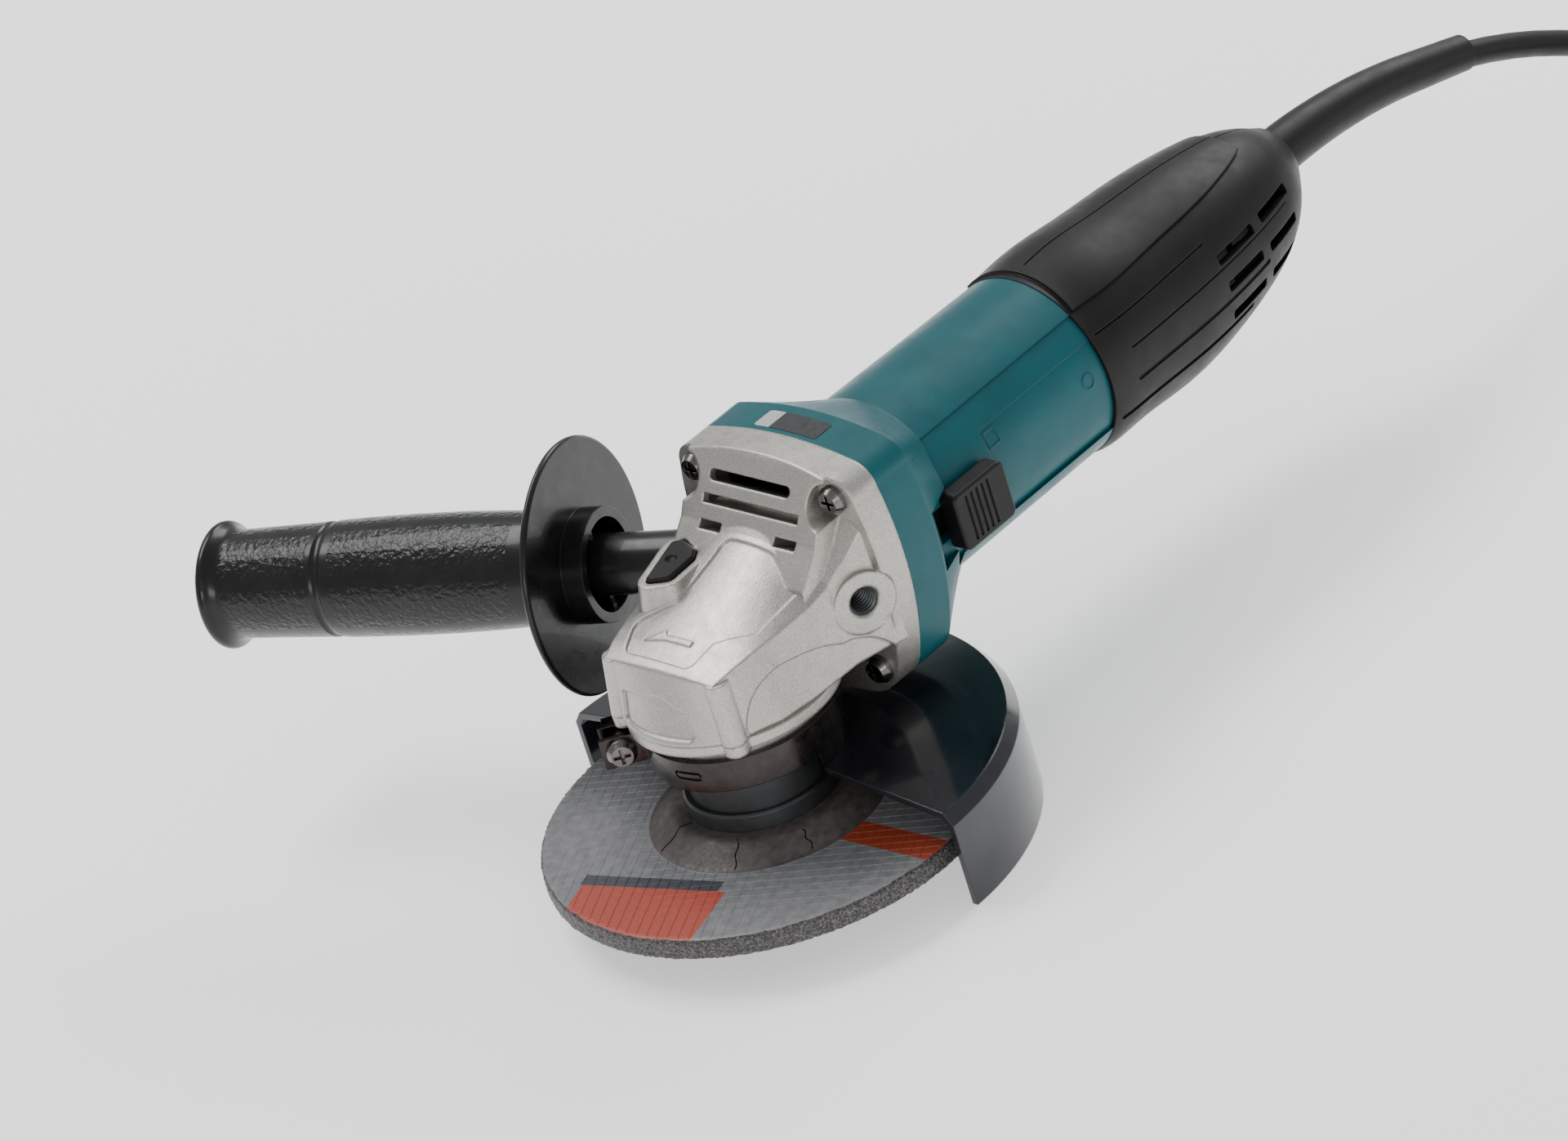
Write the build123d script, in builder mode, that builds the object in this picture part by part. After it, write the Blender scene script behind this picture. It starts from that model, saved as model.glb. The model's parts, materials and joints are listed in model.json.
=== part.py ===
"""Corded 125 mm angle grinder, built as separate named pieces.

Frame: origin on the spindle axis at the working face of the grinding wheel,
+X along the motor axis to the cord, +Y to the side handle, +Z up the spindle.
All lengths are in millimetres.
"""

from build123d import *
from math import cos, hypot, radians, sin, tan
import os

os.makedirs("parts", exist_ok=True)

# ---------------------------------------------------------------- driving sizes
# grinding wheel, flanges and spindle
wheel_radius = 62.5
wheel_thickness = 6.0
wheel_bore_radius = 11.115
hub_rise = 4.6
hub_slope_radius = 32.6
hub_flat_radius = 25.0
nut_radius = 22.5
nut_thickness = 4.0
nut_pin_circle = 35.0
nut_pin_radius = 2.5
nut_pin_depth = 3.2
flange_radius = 21.0
flange_lip = 5.0
flange_neck_radius = 19.0
flange_seat_height = 8.9
flange_skirt_gap = 0.6
thread_radius = 7.0
collar_radius = 9.0
flange_bore_radius = 14.5
fit_gap = 0.05
running_gap = 0.3

# bearings: bore radius, outside radius, width
spindle_bearing_size = (7.5, 16.0, 9.0)
front_bearing_size = (5.0, 13.0, 8.0)
rear_bearing_size = (4.0, 11.0, 7.0)
bush_size = (5.0, 7.5, 6.0)

# bearing box under the gear housing
neck_radius = 24.2
neck_bottom = 27.0
plate_radius = 29.0
plate_bottom = 39.9
plate_top = 43.0
nose_front = -21.6
nose_half_width = 20.4

# bevel gears
motor_axis = 60.2
gear_teeth = 37
pinion_teeth = 11
gear_pitch_radius = 20.0
gear_face_share = 0.68
pinion_half_root = 0.46
pinion_half_tip = 0.12
web_top = 53.0

# gear housing and its flange
flange_front = 31.0
joint_x = 40.0
outline_half_width = 34.2
outline_top = 35.0
outline_bottom = 37.0
top_screw_y = 25.0
top_screw_z = 26.0
low_screw_y = 22.6
low_screw_z = -27.2
screw_shank_radius = 2.0
screw_head_radius = 4.0

retainer_radius = 19.4
box_screw_circle = 28.9
box_screw_head = 2.2
box_screw_radius = 1.4
box_screw_sink = 1.6
box_screw_length = 6.5
box_lobe_radius = 3.4
pillar_top = (19.0, 18.6)
side_recess = 1.1
gear_chamber_radius = 21.6
gear_chamber_top = 57.8
bush_bottom = 59.8

# shaft lock
lock_pin_circle = 10.8
lock_pin_angle = 68.0
lock_pin_radius = 1.8
lock_button_top = 73.4
lock_rim_top = 72.2
lock_foot_bottom = 64.6
lock_foot_height = 2.0
lock_foot_radius = 2.7
lock_spring_radius = 2.3

# side handle bosses and side handle
boss_point = (26.0, 30.0, 58.5)
boss_lean = 21.3
boss_droop = 1.6
boss_radius = 8.6
boss_depth = 15.0
handle_thread_radius = 4.0
stem_radius = 8.3
guard_disc_offset = 34.0
guard_disc_radius = 34.5
grip_length = 110.0
grip_groove_at = 74.0

# wheel guard
guard_radius = 69.5
guard_sheet = 1.8
guard_bottom = -10.0
guard_rim_top = 18.0
guard_plate_top = 22.7
band_sheet = 1.7
band_top = 36.0
clamp_angle = 137.0
clamp_gap = 5.0
clamp_screw_at = 32.2
clamp_screw_radius = 2.5
clamp_screw_z = 34.4
clamp_ear_reach = 37.4
clamp_ear_height = 8.6

# motor housing, motor and rear cover
housing_wall = 2.3
body_radius = 28.0
panel_step = 0.6
panel_start = 64.5
panel_low = -14.5
band_step = 0.35
band_start = 84.0
band_rise = 12.9
mark_relief = 0.25
neck_start = 52.0
neck_end = 68.0
cover_joint = 129.8
cover_joint_radius = 27.4
stator_radius = 25.0
stator_start = 62.0
stator_length = 50.0
core_radius = 15.2
commutator_radius = 11.0
commutator_start = 122.0
commutator_length = 14.0
cover_end = 231.0
cord_exit_rise = 5.0
cover_end_wall = 4.0
frame_radius = 24.4
brush_x = 129.0
brush_box = (8.0, 6.5)
fan_x = 42.5
fan_width = 11.0
fan_radius = 25.5
baffle_x = 56.0
stator_flat = 21.6
cover_screw_x = 137.0
cover_screw_radius = 1.9
cover_screw_head = 3.6
vent_height = 3.0
# rear air slots: middle and length along X, then the rows' rise from the motor axis
cover_vents = [(188.0, 17.0, (-9.4, -0.4, 7.6)), (208.2, 15.6, (-9.4, -0.9, 7.8))]
saddle_step = 0.8
saddle_rise = 20.6
saddle_start = 134.0
saddle_end = 212.0
rib_depth = 0.5
# long grooves on the cover's sides: start, end and rise from the motor axis
cover_grooves = [
    (cover_joint + 2, 178.0, 13.4, 0.5),
    (140.0, 213.0, 5.2, 0.5),
    (139.0, 199.0, -3.9, 1.4),
    (132.0, 190.0, -12.6, 1.4),
]

# slide switch on the left wall, drawn in its off place
switch_x = 67.5
switch_z = 60.2
switch_length = 20.0
switch_height = 17.0
switch_proud = 5.4
switch_stem_length = 10.0
switch_stem_height = 9.0
switch_unit_x = 156.0
rod_y = -24.2
rod_height = 7.0
switch_travel = 7.0
lock_travel = 4.0

# cord
cord_radius = 3.75
cord_start = 203.0
cord_bend = 262.0
boot_tail = 22.0
boot_start_radius = 7.2
boot_end_radius = 5.2
coil_radius = 43.0
coil_stack = 3
plug_height = 15.0
plug_length = 34.0
plug_back = 8.0
plug_pin_gap = 19.0
plug_pin_radius = 2.4
plug_pin_length = 19.0
floor = guard_bottom
coil_centre = (398.0, -92.0)

# ---------------------------------------------------------------- derived sizes
band_radius = neck_radius + running_gap + band_sheet
cord_height = motor_axis + cord_exit_rise
nut_bottom = hub_rise - nut_thickness
flange_seat = hub_rise + wheel_thickness
flange_top = flange_seat + flange_seat_height
bearing_bottom = 30.0
bearing_top = bearing_bottom + spindle_bearing_size[2]
pinion_pitch_radius = gear_pitch_radius * pinion_teeth / gear_teeth
module = 2 * gear_pitch_radius / gear_teeth
front_bearing_x = 24.0
rear_bearing_x = 143.0
body_tail = rear_bearing_x + rear_bearing_size[2] + 1.0


vent_plane = Plane(origin=(20.2, 0, 77.2), x_dir=(0, -1, 0), z_dir=(-0.86, 0, 0.51))
vent_depth = 9.0
# air slots on the sloping panel: low and high edge up the slope, left and right edge
vent_slots = [
    (11.0, 14.2, -16.0, 13.4),
    (4.9, 7.5, -17.4, 17.2),
    (-2.0, 0.6, -17.4, -9.6),
    (-2.0, 0.6, 9.6, 17.6),
]


def save(piece, name):
    """Label a finished piece and write its file."""
    piece.part.label = name
    export_step(piece.part, f"parts/{name}.step")


def handle_axis(side):
    """Outward unit direction of the handle boss on side +1 (right) or -1 (left)."""
    lean = radians(boss_lean)
    droop = radians(boss_droop)
    return Vector(-sin(lean) * cos(droop), side * cos(lean) * cos(droop), -sin(droop))


def handle_plane(side):
    """Plane on the boss face, its Z pointing out of the boss."""
    lean = radians(boss_lean)
    across = Vector(cos(lean), side * sin(lean), 0)
    x, y, z = boss_point
    return Plane(origin=(x, side * y, z), x_dir=across, z_dir=handle_axis(side))


def joint_outline():
    """Face of the joint between gear housing and motor housing, in a YZ sketch."""
    w = outline_half_width
    top = motor_axis + outline_top
    low = motor_axis - outline_bottom
    with BuildLine() as outline:
        ThreePointArc((-w + 7.6, top - 3.0), (0, top), (w - 7.6, top - 3.0))
        ThreePointArc((w - 7.6, top - 3.0), (w - 4.1, top - 5.2), (w - 2.4, top - 9.4))
        ThreePointArc((w - 2.4, top - 9.4), (w, motor_axis + 2), (w - 5.6, low + 10.6))
        ThreePointArc((w - 5.6, low + 10.6), (w - 9.6, low + 4.4), (w - 17, low + 0.9))
        ThreePointArc((w - 17, low + 0.9), (0, low), (-w + 17, low + 0.9))
        ThreePointArc((-w + 17, low + 0.9), (-w + 9.6, low + 4.4), (-w + 5.6, low + 10.6))
        ThreePointArc((-w + 5.6, low + 10.6), (-w, motor_axis + 2), (-w + 2.4, top - 9.4))
        ThreePointArc((-w + 2.4, top - 9.4), (-w + 4.1, top - 5.2), (-w + 7.6, top - 3.0))
    make_face(outline.edges())


def ring(plane, inner, outer, height):
    """Plain ring standing on a plane, added to the open part."""
    with BuildSketch(plane) as band:
        Circle(outer)
        Circle(inner, mode=Mode.SUBTRACT)
    extrude(band.sketch, amount=height)


def rod(plane, radius, height, mode=Mode.ADD):
    """Round bar standing on a plane, in the open part."""
    with BuildSketch(plane) as disc:
        Circle(radius)
    extrude(disc.sketch, amount=height, mode=mode)


def motor_plane(x):
    """Plane across the motor axis at x, its Z along +X."""
    return Plane(origin=(x, 0, motor_axis), x_dir=(0, 1, 0), z_dir=(1, 0, 0))


def pan_screw(plane, head_radius, head_height, shank_radius, shank_length):
    """Cross-recess pan head screw, its head on top of the plane and its shank below."""
    rod(plane.offset(-shank_length), shank_radius, shank_length)
    rod(plane, head_radius, head_height * 0.45)
    with BuildSketch(plane.offset(head_height * 0.45)) as crown:
        Circle(head_radius)
    extrude(crown.sketch, amount=head_height * 0.55, taper=32)
    with BuildSketch(plane.offset(head_height)) as cross:
        Rectangle(head_radius * 1.15, head_radius * 0.24)
        Rectangle(head_radius * 0.24, head_radius * 1.15)
    extrude(cross.sketch, amount=-head_height * 0.62, mode=Mode.SUBTRACT)


def sealed_bearing(plane, size):
    """Sealed ball bearing: both rings with the seals set in between them."""
    bore, outside, width = size
    step = (outside - bore) * 0.22
    ring(plane, bore, outside, width)
    for face in (plane, plane.offset(width - 0.5)):
        with BuildSketch(face) as seal:
            Circle(outside - step)
            Circle(bore + step, mode=Mode.SUBTRACT)
        extrude(seal.sketch, amount=0.5, mode=Mode.SUBTRACT)


# ---------------------------------------------------------------- wheel and spindle
def make_wheel():
    with BuildPart() as wheel:
        with BuildSketch(Plane.XZ):
            with BuildLine():
                Polyline(
                    (wheel_bore_radius, hub_rise),
                    (hub_flat_radius, hub_rise),
                    (hub_slope_radius, 0),
                    (wheel_radius, 0),
                    (wheel_radius, wheel_thickness),
                    (hub_slope_radius, wheel_thickness),
                    (hub_flat_radius, flange_seat),
                    (wheel_bore_radius, flange_seat),
                    close=True,
                )
            make_face()
        revolve(axis=Axis.Z)
    save(wheel, "grinding_wheel")


def make_lock_nut():
    with BuildPart() as nut:
        rod(Plane.XY.offset(nut_bottom), nut_radius, nut_thickness)
        chamfer(nut.edges().group_by(Axis.Z)[0], 0.8)
        rod(Plane.XY.offset(hub_rise), wheel_bore_radius - fit_gap, 2.6)
        rod(Plane.XY.offset(nut_bottom), thread_radius + fit_gap, 12, Mode.SUBTRACT)
        with BuildSketch(Plane.XY.offset(nut_bottom)):
            with PolarLocations(nut_pin_circle / 2, 4):
                Circle(nut_pin_radius)
        extrude(amount=nut_pin_depth, mode=Mode.SUBTRACT)
    save(nut, "lock_nut")


def make_inner_flange():
    with BuildPart() as flange:
        rod(Plane.XY.offset(flange_seat - 2.8), wheel_bore_radius - fit_gap, 2.8)
        rod(Plane.XY.offset(flange_seat), flange_radius, flange_lip)
        chamfer(flange.edges().group_by(Axis.Z)[-1], 0.6)
        skirt = neck_bottom - flange_skirt_gap - flange_seat - flange_lip
        rod(Plane.XY.offset(flange_seat + flange_lip), flange_neck_radius, skirt)
        chamfer(flange.edges().group_by(Axis.Z)[-1], 0.5)
        rod(Plane.XY.offset(0), thread_radius + fit_gap, 40, Mode.SUBTRACT)
        # the skirt stands clear of the spindle's collar and keeps the dust off the bearing
        rod(Plane.XY.offset(flange_top), flange_bore_radius, skirt, Mode.SUBTRACT)
    save(flange, "inner_flange")


def make_spindle():
    with BuildPart() as spindle:
        rod(Plane.XY.offset(nut_bottom + 0.8), thread_radius, flange_top - nut_bottom - 0.8)
        chamfer(spindle.edges().group_by(Axis.Z)[0], 1.0)
        rod(Plane.XY.offset(flange_top), collar_radius, bearing_bottom - flange_top)
        rod(Plane.XY.offset(bearing_bottom), spindle_bearing_size[0] - 0.02, bearing_top - bearing_bottom)
        rod(Plane.XY.offset(bearing_top), 7.3, web_top - bearing_top)
        rod(Plane.XY.offset(web_top), bush_size[0] - 0.03, bush_bottom + bush_size[2] - web_top - 0.4)
        with BuildSketch(Plane.XY.offset(web_top + 0.2)):
            Circle(bush_size[0])
            Circle(bush_size[0] - 0.7, mode=Mode.SUBTRACT)
        extrude(amount=1.2, mode=Mode.SUBTRACT)
    save(spindle, "spindle")


def make_gear_clip():
    with BuildPart() as clip:
        with BuildSketch(Plane.XY.offset(web_top + 0.3)):
            Circle(bush_size[0] + 2.2)
            Circle(bush_size[0] - 0.6, mode=Mode.SUBTRACT)
            with Locations((bush_size[0] + 1, 0)):
                Rectangle(6, 4, mode=Mode.SUBTRACT)
        extrude(amount=1.0)
    save(clip, "gear_retaining_clip")


def make_drive_gear():
    # every gear surface runs to the apex, where the two axes cross
    apex = motor_axis
    drop = pinion_pitch_radius
    cone = hypot(gear_pitch_radius, drop)
    out_x = drop / cone
    out_z = gear_pitch_radius / cone
    tip = (gear_pitch_radius + 0.9 * module * out_x, apex - drop + 0.9 * module * out_z)
    root = (gear_pitch_radius - 1.25 * module * out_x, apex - drop - 1.25 * module * out_z)
    share = gear_face_share
    toe = (tip[0] * share, apex - (apex - tip[1]) * share)
    toe_root = (root[0] * share, apex - (apex - root[1]) * share)
    half_gap_root = 0.9
    half_gap_tip = 1.75
    with BuildPart() as gap:
        for reach in (1.16, 0.5):
            x = gear_pitch_radius * reach
            low = apex - (apex - root[1]) * gear_pitch_radius / root[0] * reach
            high = apex - 3.4 * reach
            with BuildSketch(Plane.YZ.offset(x)):
                Polygon(
                    (-half_gap_root * reach, low),
                    (half_gap_root * reach, low),
                    (half_gap_tip * reach * 1.15, high),
                    (-half_gap_tip * reach * 1.15, high),
                    align=None,
                )
        loft(ruled=True)
    with BuildPart() as gear:
        with BuildSketch(Plane.XZ):
            with BuildLine():
                Polyline(
                    (7.3 + 0.02, 44.5),
                    (12.5, 44.5),
                    (13.5, 46.4),
                    (root[0] - 0.6, 46.4),
                    (root[0] + 0.4, 47.2),
                    (root[0], root[1] - 0.4),
                    root,
                    tip,
                    toe,
                    toe_root,
                    (toe_root[0] - 0.5, web_top),
                    (7.3 + 0.02, web_top),
                    close=True,
                )
            make_face()
        revolve(axis=Axis.Z)
        with PolarLocations(0, gear_teeth):
            add(gap.part, mode=Mode.SUBTRACT)
        with BuildSketch(Plane.XY.offset(web_top)):
            with PolarLocations(lock_pin_circle, 4, start_angle=lock_pin_angle):
                Circle(lock_pin_radius + 0.25)
        extrude(amount=-5, mode=Mode.SUBTRACT)
    save(gear, "drive_gear")


def make_pinion():
    share = gear_face_share
    tip_r = pinion_pitch_radius + 0.84 * module
    root_r = pinion_pitch_radius - 1.25 * module
    step = 360 / pinion_teeth
    profile = []
    for k in range(pinion_teeth):
        middle = -90 + k * step
        for radius, half in (
            (root_r, -pinion_half_root),
            (pinion_pitch_radius, -pinion_half_root),
            (tip_r, -pinion_half_tip),
            (tip_r, pinion_half_tip),
            (pinion_pitch_radius, pinion_half_root),
            (root_r, pinion_half_root),
        ):
            turn = radians(middle) + half / radius
            profile.append((radius * cos(turn), radius * sin(turn)))
    with BuildPart() as pinion:
        for reach in (1.0, share):
            with BuildSketch(motor_plane(gear_pitch_radius * reach)):
                Polygon(*[(u * reach, v * reach) for u, v in profile], align=None)
        loft(ruled=True)
        rod(motor_plane(gear_pitch_radius), root_r + 0.15, front_bearing_x - gear_pitch_radius)
        rod(motor_plane(5), 3.0 + 0.01, 40, Mode.SUBTRACT)
    save(pinion, "pinion")



def lock_pin_point():
    """Place of the shaft-lock pin's axis, over one of the gear's four holes."""
    turn = radians(lock_pin_angle)
    return lock_pin_circle * cos(turn), lock_pin_circle * sin(turn)


# ---------------------------------------------------------------- bearing box
def make_bearing_box():
    bore, outside, width = spindle_bearing_size
    with BuildPart() as box:
        rod(Plane.XY.offset(neck_bottom), neck_radius, plate_bottom - neck_bottom)
        with BuildSketch(Plane.XY.offset(plate_bottom)):
            Circle(plate_radius)
            with PolarLocations(box_screw_circle, 4, start_angle=45):
                Circle(box_lobe_radius)
            with BuildLine():
                Polyline(
                    (0, nose_half_width + 4),
                    (nose_front + 6, nose_half_width + 3.2),
                    (nose_front, nose_half_width),
                    (nose_front, -nose_half_width),
                    (nose_front + 6, -nose_half_width - 3.2),
                    (0, -nose_half_width - 4),
                    close=True,
                )
            make_face()
        extrude(amount=plate_top - plate_bottom)
        rod(Plane.XY.offset(plate_top), neck_radius, 3.0)
        rod(Plane.XY.offset(plate_top - 2), neck_radius - 1.2, 6, Mode.SUBTRACT)
        rod(Plane.XY.offset(bearing_top), retainer_radius + 0.1, 6, Mode.SUBTRACT)
        rod(Plane.XY.offset(bearing_bottom), outside, 20, Mode.SUBTRACT)
        rod(Plane.XY.offset(neck_bottom), collar_radius + running_gap, 20, Mode.SUBTRACT)
        with BuildSketch(Plane.XY.offset(plate_bottom)):
            with PolarLocations(box_screw_circle, 4, start_angle=45):
                Circle(box_screw_radius + 0.05)
        extrude(amount=plate_top - plate_bottom, mode=Mode.SUBTRACT)
        with BuildSketch(Plane.XY.offset(plate_bottom)):
            with PolarLocations(box_screw_circle, 4, start_angle=45):
                Circle(box_screw_head)
        extrude(amount=box_screw_sink, mode=Mode.SUBTRACT)
    save(box, "bearing_box")


def make_box_screws():
    with BuildPart() as screws:
        with BuildSketch(Plane.XY.offset(plate_bottom)):
            with PolarLocations(box_screw_circle, 4, start_angle=45):
                Circle(box_screw_head - 0.05)
        extrude(amount=box_screw_sink)
        with BuildSketch(Plane.XY.offset(plate_bottom + box_screw_sink)):
            with PolarLocations(box_screw_circle, 4, start_angle=45):
                Circle(box_screw_radius)
        extrude(amount=box_screw_length)
        with BuildSketch(Plane.XY.offset(plate_bottom)):
            with PolarLocations(box_screw_circle, 4, start_angle=45):
                Rectangle(2.6, 0.6)
                Rectangle(0.6, 2.6)
        extrude(amount=1.0, mode=Mode.SUBTRACT)
    save(screws, "bearing_box_screws")


def make_bearings():
    with BuildPart() as lower:
        sealed_bearing(Plane.XY.offset(bearing_bottom), spindle_bearing_size)
    save(lower, "spindle_bearing")
    with BuildPart() as retainer:
        ring(Plane.XY.offset(bearing_top), 13.2, retainer_radius, 1.6)
    save(retainer, "bearing_retainer")
    with BuildPart() as bush:
        ring(Plane.XY.offset(bush_bottom), bush_size[0], bush_size[1], bush_size[2])
    save(bush, "spindle_top_bush")
    with BuildPart() as front:
        sealed_bearing(motor_plane(front_bearing_x), front_bearing_size)
    save(front, "armature_front_bearing")
    with BuildPart() as rear:
        sealed_bearing(motor_plane(rear_bearing_x), rear_bearing_size)
    save(rear, "armature_rear_bearing")


# ---------------------------------------------------------------- gear housing
# stations along X: place, half width and height of the lower edge,
# half width and height of the shoulder ridge, height of the crown
head_stations = [
    (nose_front, 20.6, 19.8, 60.6, 61.2),
    (-16, 24.2, 21.4, 62.0, 63.6),
    (-8, 27.9, 23.2, 63.4, 66.8),
    (2, 29.2, 24.8, 64.4, 70.3),
    (12, 29.3, 25.8, 65.2, 74.0),
    (19, 29.4, 26.4, 67.0, 77.0),
    (26, 31.2, 28.6, 72.0, 82.0),
    (34, 33.4, 31.6, 80.0, 90.0),
]


def head_block(sink=0.0, inset=0.0):
    """Loft of the gear case's outer form, its top lowered by sink and its sides moved in."""
    sections = []
    for x, full_low_y, full_ridge_y, ridge_z, crown_z in head_stations:
        low_y = full_low_y - inset
        ridge_y = full_ridge_y - inset
        with BuildSketch(Plane.YZ.offset(x)) as section:
            with BuildLine():
                Polyline(
                    (ridge_y, ridge_z - sink),
                    (low_y, plate_top),
                    (-low_y, plate_top),
                    (-ridge_y, ridge_z - sink),
                )
                ThreePointArc((-ridge_y, ridge_z - sink), (0, crown_z - sink), (ridge_y, ridge_z - sink))
            make_face()
        sections.append(section.sketch)
    with BuildPart() as block:
        loft(sections, ruled=True)
    return block


def nose_block(sink=0.0):
    """Curved front of the gear case, from the round lower edge to the straight top edge."""
    back = nose_front + 3
    with BuildPart() as block:
        outlines = ((plate_top, plate_radius, nose_half_width), (60.6, -nose_front + 0.3, 19.8))
        for height, bulge, half in outlines:
            corner = nose_front + sink
            with BuildSketch(Plane.XY.offset(height)):
                with BuildLine():
                    ThreePointArc((corner, -half), (sink - bulge, 0), (corner, half))
                    Polyline((corner, half), (back, half), (back, -half), (corner, -half))
                make_face()
        loft(ruled=True)
    return block


def corner_pillar(side):
    """Rounded corner of the nose, over one of the bearing box screws."""
    reach = box_screw_circle * cos(radians(45))
    top_x, top_y = pillar_top
    with BuildPart() as pillar:
        with BuildSketch(Plane.XY.offset(plate_top)) as foot:
            with Locations((-reach, side * reach)):
                Circle(box_lobe_radius)
        with BuildSketch(Plane.XY.offset(60.4)) as top:
            with Locations((-top_x, side * top_y)):
                Circle(box_lobe_radius)
        loft([foot.sketch, top.sketch])
    return pillar


def turn_arrow():
    """Raised arrow on the pad that shows which way the wheel turns."""
    with BuildPart() as arrow:
        with BuildSketch(Plane.XY.offset(55)):
            Polygon(
                (-14.2, 11.1),
                (-10.1, 5.6),
                (-11.7, 4.6),
                (-11.5, -5.1),
                (-13.1, -5.0),
                (-13.1, 4.2),
                align=None,
            )
        extrude(amount=30)
        add(head_block(0.4).part, mode=Mode.INTERSECT)
    return arrow


def lock_outline(grow):
    """Face of the shaft-lock button seen from above, grown by grow."""
    with BuildSketch() as face:
        with BuildLine():
            Polyline(
                (-3.4, 17.9),
                (14.2, 24.2),
                (16.2, 21.0),
                (13.8, 14.6),
                (10.4, 12.2),
                (0.4, 11.6),
                close=True,
            )
        make_face()
        fillet(face.vertices(), 1.9)
        if grow:
            offset(amount=grow, mode=Mode.REPLACE)
    return face.sketch


def screw_points():
    """Places of the four gear housing screws across the motor axis (Y, Z from it)."""
    return [
        (top_screw_y, top_screw_z),
        (-top_screw_y, top_screw_z),
        (low_screw_y, low_screw_z),
        (-low_screw_y, low_screw_z),
    ]


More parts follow.
